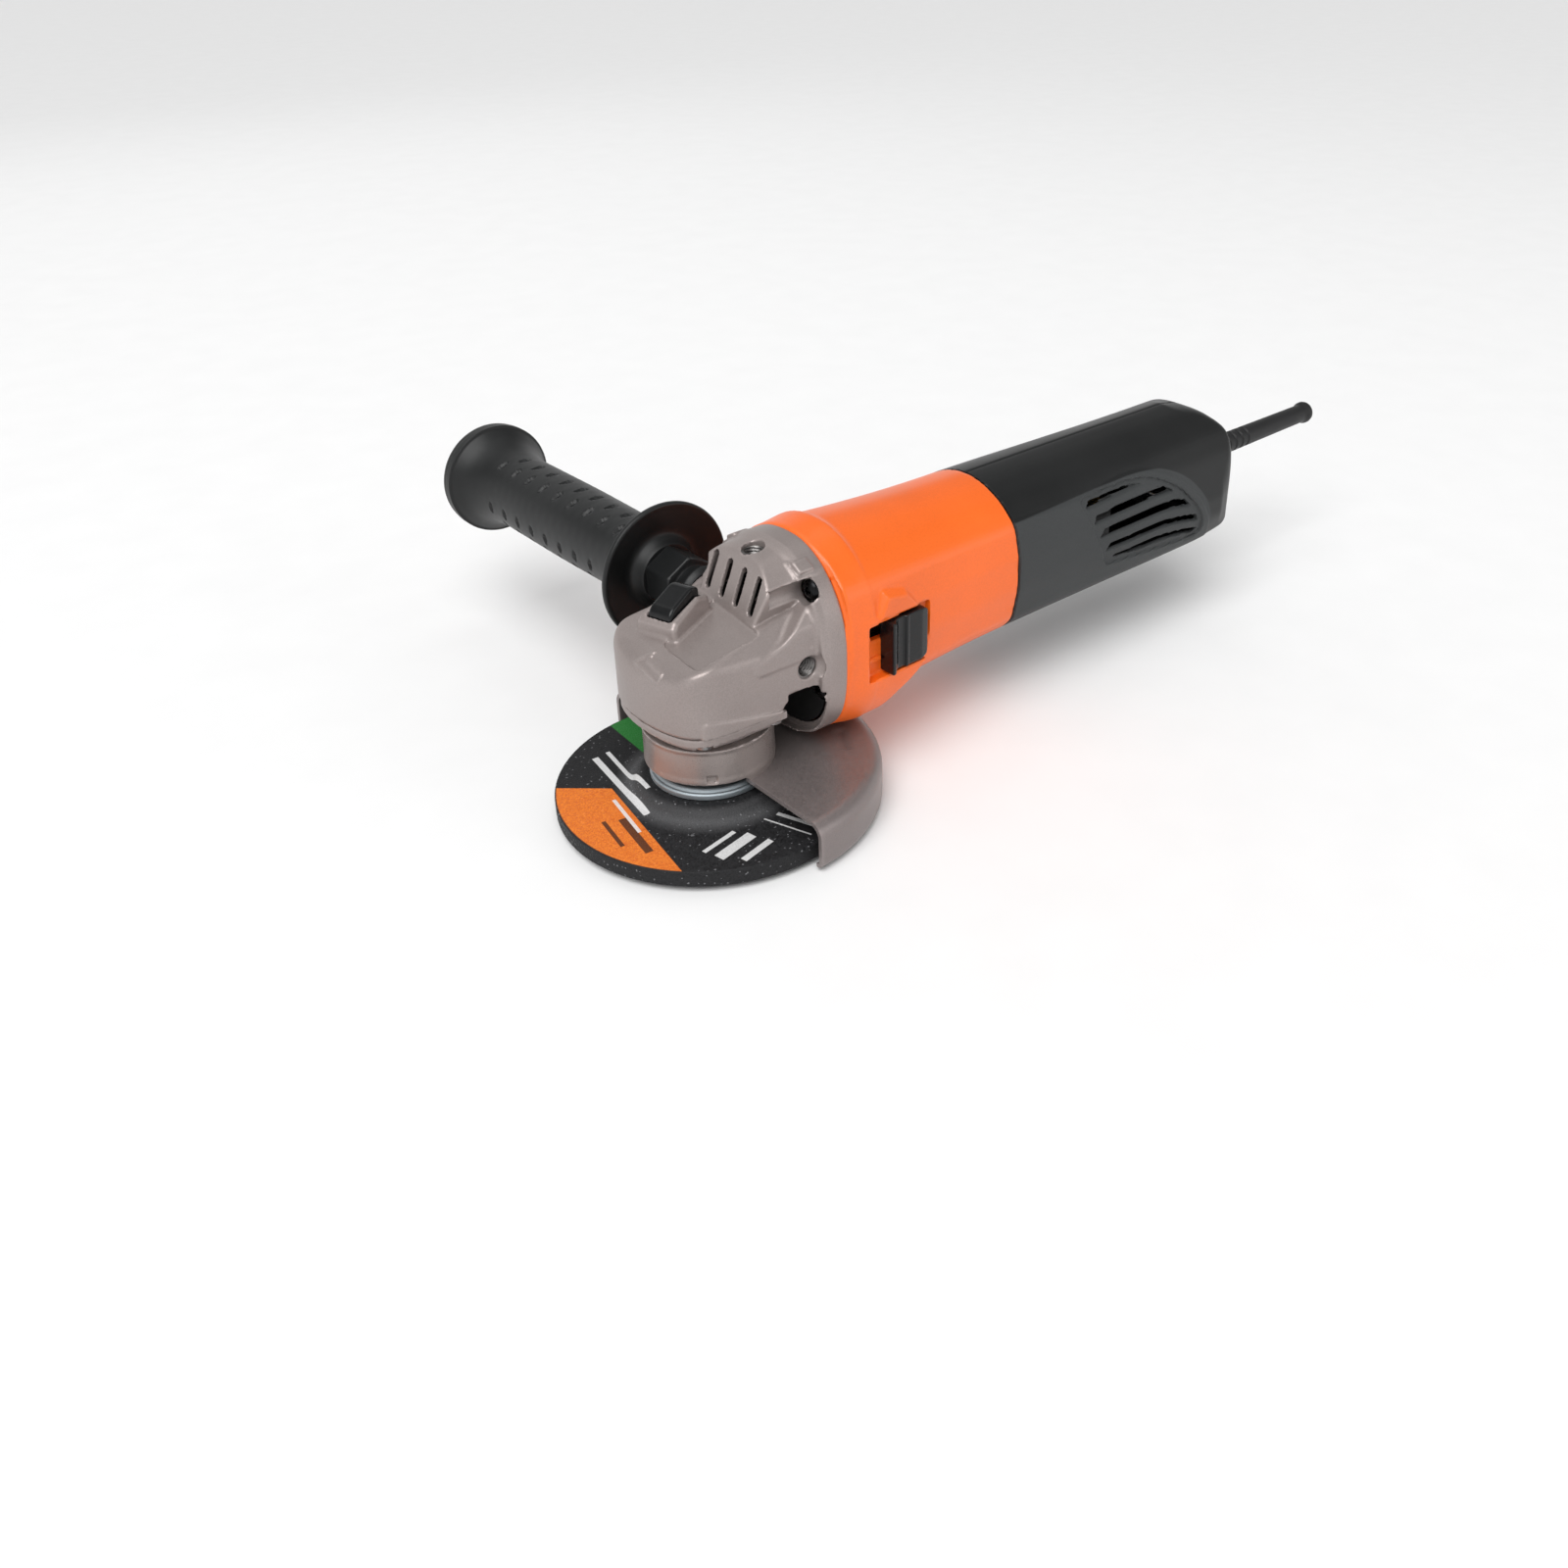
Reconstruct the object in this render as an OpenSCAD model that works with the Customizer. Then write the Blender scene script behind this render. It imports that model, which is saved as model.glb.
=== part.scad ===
// Angle grinder for depressed-centre discs, with a slide switch and a side handle.
// +X runs from the head to the cord, +Y towards the side handle, +Z up along the spindle.
// The origin is the spindle's tip, which lies in the plane of the disc's working face.

/* [Disc and spindle] */
// Diameter of the grinding disc
disc_d = 115; // [105:1:138]
// Thickness of the grinding disc
disc_t = 6.4; // [5.3:0.1:7.7]
// Bore of the grinding disc
disc_bore_d = 22.2; // [21:0.1:24]
// Height of the disc's raised centre
disc_rise = 4.6; // [4:0.1:5]
// Diameter of the disc's raised centre
disc_hub_d = 58; // [54:1:62]
// Diameter of the spindle's thread
thread_d = 15.9; // [14:0.1:17]
// Diameter of the flange above the disc
flange_d = 45; // [38:1:46]
// Diameter of the locking nut
nut_d = 38; // [34:1:42]

/* [Gears] */
// Teeth on the spindle's bevel gear
gear_teeth = 37; // [35:1:39]
// Teeth on the motor's pinion
pinion_teeth = 11; // [10:1:12]
// Pitch radius of the bevel gear at its outer edge
gear_r = 20.5; // [18:0.5:21]
// Width of the gear teeth along the cone
tooth_w = 7; // [5:0.5:7.5]
// Share of the tooth pitch that is left as backlash
backlash = 0.24; // [0.2:0.01:0.3]

/* [Gear case] */
// Half width of the gear case
case_w = 29.5; // [29:0.5:31]
// Distance from the spindle to the front of the gear case
case_nose = 28.5; // [28:0.5:33]
// Place along X of the joint between gear case and motor housing
joint_x = 39; // [39:0.5:44]
// Half width of the joint flange
joint_w = 33.5; // [33:0.5:38]
// Half height of the joint flange
joint_h = 38; // [36:0.5:40]
// Diameter of the neck that the guard turns on
neck_d = 42; // [40:0.5:44]
// Thread root diameter of the side handle sockets
socket_d = 6.8; // [6:0.1:7.4]
// Depth of the side handle sockets
socket_depth = 13; // [10:0.5:14]

/* [Guard] */
// Gap between the disc's edge and the guard
guard_gap = 4.4; // [3:0.1:8]
// Thickness of the guard's sheet steel
guard_t = 1.6; // [1.2:0.1:2]
// Depth of the guard's skirt
guard_depth = 18; // [15:0.5:19]
// Angle that the guard covers
guard_angle = 180; // [160:5:190]
// Wall of the guard's collar
collar_t = 3.6; // [2.5:0.1:4]

/* [Motor] */
// Height of the motor's axis above the disc's face
motor_z = 60; // [59.5:0.5:61]
// Radius of the armature's core
armature_r = 16.8; // [14:0.1:18]
// Length of the armature's core
core_l = 40; // [33:1:46]
// Outer radius of the stator
stator_r = 26.5; // [23:0.5:26.5]
// Gap between the armature and the stator
air_gap = 0.6; // [0.4:0.1:1]
// Radius of the commutator
commutator_r = 11; // [9.5:0.5:12]
// Radius of the fan
fan_r = 26; // [22:0.5:26.5]

/* [Housings] */
// Half width of the motor housing
body_w = 31.4; // [31:0.2:37]
// Height of the motor housing above the motor's axis
body_up = 33.4; // [32:0.2:36]
// Depth of the motor housing below the motor's axis
body_down = 31; // [30.5:0.2:35]
// Wall of both plastic housings
wall = 2.5; // [2:0.1:2.5]
// Length of the motor housing
body_l = 91; // [86:1:110]
// Length of the rear housing
rear_l = 147; // [125:1:176]
// Height of each cooling louvre
louvre_h = 3.2; // [2.5:0.1:3.8]
// Distance between neighbouring louvres
louvre_pitch = 6.5; // [5.5:0.1:6.5]

/* [Controls] */
// Travel of the slide switch
switch_travel = 7; // [4:0.5:7]
// Length of the switch's thumb piece
slider_l = 22; // [18:1:24]
// Travel of the spindle lock button
lock_travel = 4.5; // [3.5:0.1:4.6]
// Radius of the spindle lock pin
lock_pin_r = 2.4; // [2:0.1:2.4]

/* [Side handle] */
// Length of the handle from its shield to its end
handle_l = 138; // [110:1:166]
// Radius of the handle's grip
grip_r = 16.4; // [14:0.2:18]
// Radius of the handle's hand shield
shield_r = 28.5; // [24:0.5:31]
// Radius of the handle's end
knob_r = 24.3; // [21:0.5:27]

/* [Cord sleeve] */
// Length of the cord sleeve outside the housing
sleeve_l = 99; // [80:1:119]
// Diameter of the cord that the sleeve takes
cord_d = 7.2; // [6:0.1:7.4]

/* [Hidden] */
$fn = 64;

// Clearances
run = 0.05;         // running fit of a shaft or pin
slip = 0.3;         // between pieces that pass each other
tiny = 0.01;        // lets a cut pass through a face

// Heights along the spindle
seat_z = disc_rise + disc_t;          // where the flange meets the disc
flange_t = 4;                         // thickness of the inner flange
shoulder_z = seat_z + flange_t;       // where the flange meets the spindle's shoulder
neck_z = shoulder_z + 2;              // lower end of the neck
bearing_z = neck_z + 5;               // lower face of the spindle bearing
plate_z = neck_z + 19.5;              // lower face of the bearing plate
case_z = plate_z + 5.5;               // where gear case and bearing plate meet
hub_r = disc_bore_d / 2 - 0.1;        // flange hubs that centre the disc
hub_l = 2.6;                          // how far each hub reaches into the disc
shoulder_r = 9.5;                     // spindle below its bearing
journal_r = 6;                        // spindle in its bearing
gear_seat_r = 5;                      // spindle in the bevel gear
top_r = 4;                            // spindle in its upper bush
bearing_r = 16;                       // outer radius of the spindle bearing
bearing_t = 10;                       // thickness of the spindle bearing
bush_r = 6;                           // outer radius of the upper bush
bush_z = motor_z + 1;                 // lower face of the upper bush
bush_l = 6.5;                         // length of the upper bush
chamber_z = motor_z + 2.5;            // roof of the gear chamber, above the bush's lower face

// Bevel gears, whose cones share one apex on the motor's axis above the spindle
gear_cone = atan(gear_teeth / pinion_teeth);
pinion_r = gear_r * pinion_teeth / gear_teeth;
tooth_m = 2 * gear_r / gear_teeth;
cone_l = norm([gear_r, pinion_r]);
add_angle = atan(0.8 * tooth_m / cone_l);
ded_angle = atan(1.25 * tooth_m / cone_l);
inner_share = (cone_l - tooth_w) / cone_l;
gear_in_r = gear_r * inner_share;
web_top_z = motor_z - 10;             // floor of the recess inside the gear teeth
gear_base_z = motor_z - 14;           // lower face of the bevel gear's rim
hub_base_z = motor_z - 17;            // lower face of the bevel gear's hub
lock_holes = 7;                       // pockets for the lock pin in the bevel gear's web
lock_hole_r = lock_pin_r + 0.6;
lock_ring_r = gear_in_r - lock_hole_r - 0.3;
lock_angle = 117;                     // direction of the lock pin from the spindle
lock_x = lock_ring_r * cos(lock_angle);
lock_y = lock_ring_r * sin(lock_angle);

// Gear case
plateau_z = motor_z + 8;              // front edge of the sloping top
plateau_end_z = motor_z + 13.5;       // rear edge of the sloping top
plateau_end_x = 9;
ramp_top_x = 21;                      // upper edge of the slotted ramp
ramp_top_z = motor_z + 31.5;
joint_z = motor_z - 2.5;              // centre height of the joint flange
joint_l = 11;                         // length of the joint flange
bevel_z = motor_z - 1.5;              // lower edge of the bevel round the sloping top
front_bearing_x = joint_x - 10;       // front face of the motor's front bearing
front_bearing_r = 13;
front_bearing_t = 8;
socket_x = joint_x - 15;              // all three handle sockets stand in one plane
socket_top_z = joint_z + joint_h - 2; // face of the top socket
socket_side_y = case_w + 0.5;         // faces of the side sockets
left_socket_z = motor_z + 3;          // height of the socket that the handle stands in
right_socket_z = motor_z - 4;         // height of the free side socket
case_wall = 3.5;

// Lock button
button_l = 17;
button_w = 10.4;
button_turn = 16;                     // the button points a little outwards
button_base_z = motor_z + 13.5;
pedestal_wall = 2.2;
pocket_z = button_base_z - lock_travel - 0.5;
pin_tip_z = web_top_z + 1;            // rest height of the lock pin's tip

// Guard
guard_r = disc_d / 2 + guard_gap + guard_t;
guard_z = neck_z;                     // top face of the guard
neck_r = neck_d / 2;
collar_r = neck_r + run + collar_t;
collar_h = 16;
lug_angle = 90;                       // direction of the collar's clamping lugs
lug_z = guard_z + 8;

// Motor, all along one axis
collar_flare = 2;                     // how far the housing's front collar widens
fan_x = joint_x + 3;
core_x = fan_x + 24;
core_end_x = core_x + core_l;
body_end_x = joint_x + body_l;
commutator_x = body_end_x - 3;
commutator_l = 16;
rear_bearing_x = commutator_x + 24;
rear_bearing_r = 11;
rear_bearing_t = 7;
spigot_r = 26.2;                      // rear end of the motor housing, inside the rear housing
spigot_end_x = rear_bearing_x + rear_bearing_t + 3;
body_in_r = body_w - wall;
shaft_r = 5;
shaft_end_r = 4;
brush_x = commutator_x + 9;
brush_size = [9, 6];                  // along the shaft and around it
brush_r0 = commutator_r + slip;
brush_l = 9;
brush_wall = 1.1;
holder_r0 = commutator_r + 1.5;
holder_r1 = spigot_r + 1;
cap_t = 0.8;

// Switch
rod_y = body_in_r - 1.8;              // inner face of the switch rod
rod_t = 1.3;
rod_h = 6;
recess_x = joint_x + 9;
recess_y = body_in_r + 1.4;           // floor of the switch recess
recess_h = 23;
recess_z = motor_z - 6;
slider_x = recess_x + switch_travel + 2;
slider_y = joint_w + 4.2;             // outer face of the thumb piece
switch_x = spigot_end_x + 3;

// Rear housing
rear_end_x = body_end_x + rear_l;
rear_w = body_w + 1.4;                // the rear housing widens a little
louvre_z = motor_z - 2;               // middle of the row of louvres
louvre_n = 5;
screw_r = 2;
boss_r = 4.2;
rear_screws = [
  [switch_x + 4, motor_z + 24], [switch_x + 4, motor_z - 22],
  [rear_end_x - 16, motor_z + 20], [rear_end_x - 16, motor_z - 15]
];

// Cord sleeve
sleeve_r = cord_d / 2 + 1.6;
sleeve_tip_r = cord_d / 2 + 0.9;
sleeve_end_x = rear_end_x + sleeve_l;
clamp_x = rear_end_x - 28;
clamp_pitch = cord_d + 9;

// Side handle
handle_y = socket_side_y + 28;        // plane of the hand shield's rim
stud_r = socket_d / 2 - run;
collar_y = socket_side_y + 0.2;
hex_r = 10.5;

// ---- Shapes that several pieces use ----

// Outline with half width a, reaching up above and down below its centre, squarer as its powers grow
function outline(a, up, down, p_up, p_down, n = 48) = [
  for (i = [0 : n - 1]) let (
    t = 360 * i / n,
    p = sin(t) >= 0 ? p_up : p_down,
    h = sin(t) >= 0 ? up : down
  ) [a * sign(cos(t)) * pow(abs(cos(t)), 2 / p), h * sign(sin(t)) * pow(abs(sin(t)), 2 / p)]
];
// Extrudes a drawing of Y and Z along X
module along_x(x0, x1) {
  translate([x0, 0, 0]) rotate([90, 0, 90]) linear_extrude(x1 - x0) children();
}
// Extrudes a drawing of X and Z along Y
module along_y(y0, y1) {
  translate([0, y1, 0]) rotate([90, 0, 0]) linear_extrude(y1 - y0) children();
}
// Cylinder or cone on the motor's axis
module x_cyl(x0, x1, r, r2 = undef) {
  translate([x0, 0, motor_z]) rotate([0, 90, 0]) cylinder(h = x1 - x0, r1 = r, r2 = is_undef(r2) ? r : r2);
}
module x_ring(x0, x1, r_out, r_in) {
  difference() {
    x_cyl(x0, x1, r_out);
    x_cyl(x0 - tiny, x1 + tiny, r_in);
  }
}
module z_cyl(z0, z1, r, r2 = undef) {
  translate([0, 0, z0]) cylinder(h = z1 - z0, r1 = r, r2 = is_undef(r2) ? r : r2);
}
module z_ring(z0, z1, r_out, r_in) {
  difference() {
    z_cyl(z0, z1, r_out);
    z_cyl(z0 - tiny, z1 + tiny, r_in);
  }
}
// Cylinder along Y in the plane of the sockets
module y_cyl(y0, y1, r, r2 = undef, z = left_socket_z) {
  translate([socket_x, y0, z]) rotate([-90, 0, 0])
    cylinder(h = y1 - y0, r1 = r, r2 = is_undef(r2) ? r : r2);
}
module box(lo, hi) {
  translate(lo) cube(hi - lo);
}
// Pan-head screw with its head's underside at the origin and its shank down -Z
module screw(r, l, head_r, head_h) {
  translate([0, 0, -l]) cylinder(h = l + tiny, r = r);
  difference() {
    cylinder(h = head_h, r1 = head_r, r2 = head_r * 0.85);
    translate([0, 0, head_h - 1]) for (a = [0, 90]) rotate(a) cube([head_r * 1.1, 0.9, 2.2], center = true);
  }
}
// Wire spring wound up +Z: rings of wire along a helix, with closed ends
module spring(r, wire, turns, l, sides = 6, per_turn = 14) {
  n = turns * per_turn;
  lead = l - 2 * wire;
  pts = [
    for (i = [0 : n]) let (a = 360 * i / per_turn, z = wire + lead * i / n)
      for (j = [0 : sides - 1]) let (b = 360 * j / sides, q = r + wire * cos(b))
        [q * cos(a), q * sin(a), z + wire * sin(b)]
  ];
  skin = [
    for (i = [0 : n - 1], j = [0 : sides - 1]) let (k = (j + 1) % sides)
      [i * sides + j, i * sides + k, (i + 1) * sides + k, (i + 1) * sides + j]
  ];
  start = [[for (j = [sides - 1 : -1 : 0]) j]];
  stop = [[for (j = [0 : sides - 1]) n * sides + j]];
  polyhedron(points = pts, faces = concat(skin, start, stop), convexity = 8);
}
// Star-shaped section of a bevel gear, one unit below the apex, first tooth or gap at angle 0
module bevel_section(teeth, cone, gap_first) {
  pitch = 360 / teeth;
  root = tan(cone - ded_angle);
  tip = tan(cone + add_angle);
  mid = tan(cone);
  half = pitch / 4 * (1 - backlash);
  flank = tan(20) * 180 / PI / sin(cone);
  root_half = half + flank * ded_angle * PI / 180;
  tip_half = half - flank * add_angle * PI / 180;
  start = gap_first ? pitch / 2 : 0;
  polygon([
    for (k = [0 : teeth - 1]) let (a = start + k * pitch)
      for (e = [[root, -root_half], [mid, -half], [tip, -tip_half], [tip, tip_half], [mid, half], [root,
          root_half]])
        [e[0] * cos(a + e[1]), e[0] * sin(a + e[1])]
  ]);
}

// ---- Spindle and disc ----

module spindle() color("silver") difference() {
  union() {
    z_cyl(0, 1, thread_d / 2 - 1, thread_d / 2);
    z_cyl(1, shoulder_z, thread_d / 2);
    z_cyl(shoulder_z, bearing_z, shoulder_r);
    z_cyl(bearing_z, hub_base_z, journal_r);
    z_cyl(hub_base_z, web_top_z + 2.5, gear_seat_r);
    z_cyl(web_top_z + 2.5, bush_z + bush_l - 0.5, top_r);
  }
  z_ring(web_top_z + 0.6, web_top_z + 1.6, gear_seat_r + 1, gear_seat_r - 0.6);
  gear_key_shape(0);
}
module gear_key_shape(grow) {
  box([gear_seat_r - 1.6, -1.5 - grow, hub_base_z + 1], [gear_seat_r + 1.2 + grow, 1.5 + grow, web_top_z -
      2]);
}
module gear_key() color("dimgray") gear_key_shape(0);
module gear_circlip() color("dimgray") difference() {
  z_ring(web_top_z + 0.6, web_top_z + 1.6, gear_seat_r + 1.4, gear_seat_r - 0.6);
  box([-gear_seat_r - 2, -2, web_top_z], [0, 2, web_top_z + 3]);
}
module spindle_seal() color("black")
  z_ring(neck_z + 1, neck_z + 4, shoulder_r + 2.6, shoulder_r + slip);
module spindle_bearing() color("lightsteelblue") difference() {
  z_ring(bearing_z, bearing_z + bearing_t, bearing_r, journal_r + run);
  for (z = [bearing_z - tiny, bearing_z + bearing_t - 0.5])
    z_ring(z, z + 0.5 + tiny, bearing_r - 2.2, journal_r + 2.2);
}
module spindle_bearing_circlip() color("dimgray") difference() {
  z_ring(bearing_z + bearing_t, bearing_z + bearing_t + 1.2, bearing_r + 0.8, bearing_r - 2.4);
  box([0, -4, bearing_z], [bearing_r + 2, 4, bearing_z + bearing_t + 3]);
}
module spindle_bush() color("goldenrod")
  z_ring(bush_z, bush_z + bush_l, bush_r, top_r + run);
// A blank turned to the root cone, with teeth that all narrow towards the apex
module bevel_gear() color("slategray") difference() {
  union() {
    rotate_extrude() polygon([
      [gear_seat_r, hub_base_z], [gear_seat_r + 3, hub_base_z], [gear_seat_r + 3.5, gear_base_z],
      [gear_r + 0.5, gear_base_z], [gear_r + 0.5, motor_z - (gear_r + 0.5) / tan(gear_cone - ded_angle)],
      [gear_in_r, motor_z - gear_in_r / tan(gear_cone - ded_angle)], [gear_in_r, web_top_z], [gear_seat_r,
          web_top_z]
    ]);
    intersection() {
      z_ring(gear_base_z + 1, motor_z, gear_r, gear_in_r);
      translate([0, 0, motor_z]) mirror([0, 0, 1]) {
        deep = gear_r / tan(gear_cone - ded_angle) + 0.6;
        shallow = gear_in_r / tan(gear_cone + add_angle) - 0.6;
        translate([0, 0, deep]) mirror([0, 0, 1])
          linear_extrude(deep - shallow, scale = shallow / deep) scale(deep)
            bevel_section(gear_teeth, gear_cone, true);
      }
    }
  }
  for (k = [1 : lock_holes]) rotate(lock_angle + k * 360 / lock_holes)
    translate([lock_ring_r, 0, gear_base_z - 1]) cylinder(h = web_top_z - gear_base_z + 2, r = lock_hole_r);
  gear_key_shape(run);
}
module inner_flange() color("gray") difference() {
  union() {
    z_cyl(seat_z, seat_z + flange_t - 1, flange_d / 2);
    z_cyl(seat_z + flange_t - 1, shoulder_z, flange_d / 2, flange_d / 2 - 1);
    z_cyl(seat_z - hub_l, seat_z, hub_r);
  }
  z_cyl(0, shoulder_z + 1, thread_d / 2);
}
module grinding_disc() color("dimgray") rotate_extrude($fn = 96) polygon([
  [disc_bore_d / 2, disc_rise], [disc_hub_d / 2 - disc_t / 2 - disc_rise / 2, disc_rise], [disc_hub_d / 2 -
      disc_t / 2, 0],
  [disc_d / 2, 0], [disc_d / 2, disc_t], [disc_hub_d / 2, disc_t],
  [disc_hub_d / 2 - disc_rise / 2, seat_z], [disc_bore_d / 2, seat_z]
]);
module lock_nut() color("dimgray") difference() {
  union() {
    z_cyl(disc_rise - 3.6, disc_rise, nut_d / 2);
    z_cyl(disc_rise, disc_rise + hub_l, hub_r);
  }
  z_cyl(-1, seat_z, thread_d / 2);
  for (a = [45, 225]) rotate(a) translate([nut_d / 2 - 4.5, 0, -1]) cylinder(h = disc_rise, r = 2.4);
}

// ---- Guard ----

module guard() color("rosybrown") rotate(-90) rotate_extrude(angle = guard_angle, $fn = 96) polygon([
  [collar_r, guard_z - guard_t], [guard_r - 4, guard_z - guard_t], [guard_r - guard_t, guard_z - 4.5],
  [guard_r - guard_t, guard_z - guard_depth + 0.8], [guard_r - guard_t - 1.4, guard_z - guard_depth],
  [guard_r, guard_z - guard_depth], [guard_r, guard_z - 3.5], [guard_r - 1, guard_z - 1.2],
  [guard_r - 3.5, guard_z], [collar_r, guard_z]
]);
module guard_collar() color("gainsboro") difference() {
  union() {
    z_ring(guard_z - guard_t, guard_z + collar_h, collar_r, neck_r + run);
    rotate(lug_angle) for (s = [-1, 1])
      box([collar_r - 1, s > 0 ? 1 : -5, lug_z - 5], [collar_r + 9, s > 0 ? 5 : -1, lug_z + 5]);
  }
  z_cyl(guard_z - 5, plate_z, neck_r + run);
  rotate(lug_angle) box([neck_r - 1, -1, guard_z - 5], [collar_r + 12, 1, plate_z]);
  rotate(lug_angle) translate([collar_r + 4.5, 0, lug_z]) rotate([90, 0, 0]) cylinder(h = 20, r = 2.1,
      center = true);
  rotate(-124) translate([collar_r, 0, guard_z + 4]) cube([1.2, 4, 3], center = true);
}
module guard_clamp_screw() color("silver") rotate(lug_angle) translate([collar_r + 4.5, 5, lug_z])
  rotate([-90, 0, 0]) screw(2, 15, 3.6, 2.6);
module guard_clamp_nut() color("silver") rotate(lug_angle) translate([collar_r + 4.5, -5, lug_z])
  rotate([90, 0, 0]) difference() {
    cylinder(h = 3.2, r = 4, $fn = 6);
    translate([0, 0, -1]) cylinder(h = 6, r = 2);
  }

// ---- Gear case ----

// Plan of the head: sides that widen towards the flange, and a blunt nose
module head_plan(inset = 0) {
  w = case_w - inset;
  n = case_nose - inset;
  side = [
    [joint_x - 5, w], [6, w * 0.97], [-n * 0.42, w * 0.93], [-n * 0.68, w * 0.86], [-n * 0.84, w * 0.72],
    [-n * 0.93, w * 0.5], [-n * 0.98, w * 0.25]
  ];
  polygon(concat([for (p = side) [p[0], -p[1]]], [[-n, 0]], [for (i = [len(side) - 1 : -1 : 0]) side[i]]));
}
// The head tapers by rise over its bevel, as seen from the front and from the side
module head_block() intersection() {
  translate([0, 0, case_z]) linear_extrude(60) head_plan();
  along_y(-40, 40) polygon([
    [-case_nose - 1, case_z - 1], [-case_nose - 1, bevel_z - 4], [-case_nose + 0.5, bevel_z],
    [-case_nose + 3, bevel_z + 5], [-case_nose + 8.5, plateau_z], [plateau_end_x, plateau_end_z],
    [ramp_top_x, ramp_top_z], [joint_x - 6, joint_z + joint_h - 1.5], [joint_x - 6, case_z - 1]
  ]);
  along_x(-40, 60) polygon([
    for (s = [-1, 1]) for (p = s < 0 ? shoulder : [for (i = [len(shoulder) - 1 : -1 : 0]) shoulder[i]])
      [s * p[0], p[1]]
  ]);
}
shoulder = [
  [case_w, 0], [case_w, bevel_z + 3], [case_w - 1, bevel_z + 7], [case_w - 4, plateau_z + 3], [case_w - 7,
      plateau_end_z + 1],
  [case_w - 8.5, ramp_top_z - 8], [case_w - 12, ramp_top_z - 2], [12, joint_z + joint_h]
];
module joint_outline(inset = 0) {
  translate([0, joint_z]) polygon(outline(joint_w - inset, joint_h - inset, joint_h - inset, 2.1, 3));
}
// Places the children over the lock pin, turned as the button is
module at_button() translate([lock_x, lock_y, 0]) rotate(button_turn) children();
module button_side(grow) along_y(-40, 40) polygon([
  [-40, 0], [-button_l / 2 - grow, button_base_z + 0.5], [-button_l / 2 + 1.5, button_base_z + 4 - grow],
  [button_l / 2 - 4, button_base_z + 9 - grow], [button_l / 2 + grow, button_base_z + 8 - grow], [button_l
      / 2 + grow, 0]
]);
module pedestal() at_button() intersection() {
  box([-button_l / 2 - pedestal_wall, -button_w / 2 - pedestal_wall, plateau_z - 4],
      [button_l / 2 + pedestal_wall, button_w / 2 + pedestal_wall, plateau_z + 30]);
  button_side(4.5);
}
// Smooth top between the ramp and the joint flange
module flange_body() {
  hull() {
    along_x(joint_x - joint_l - 3, joint_x - joint_l - 2.5) joint_outline(4);
    along_x(joint_x - joint_l + 3, joint_x) joint_outline();
  }
  intersection() {
    hull() {
      along_x(ramp_top_x, ramp_top_x + 0.5) joint_outline(5);
      along_x(joint_x - joint_l, joint_x) joint_outline(0.5);
    }
    box([0, 24 - case_w, motor_z], [joint_x, case_w - 8, 200]);
  }
}
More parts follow.
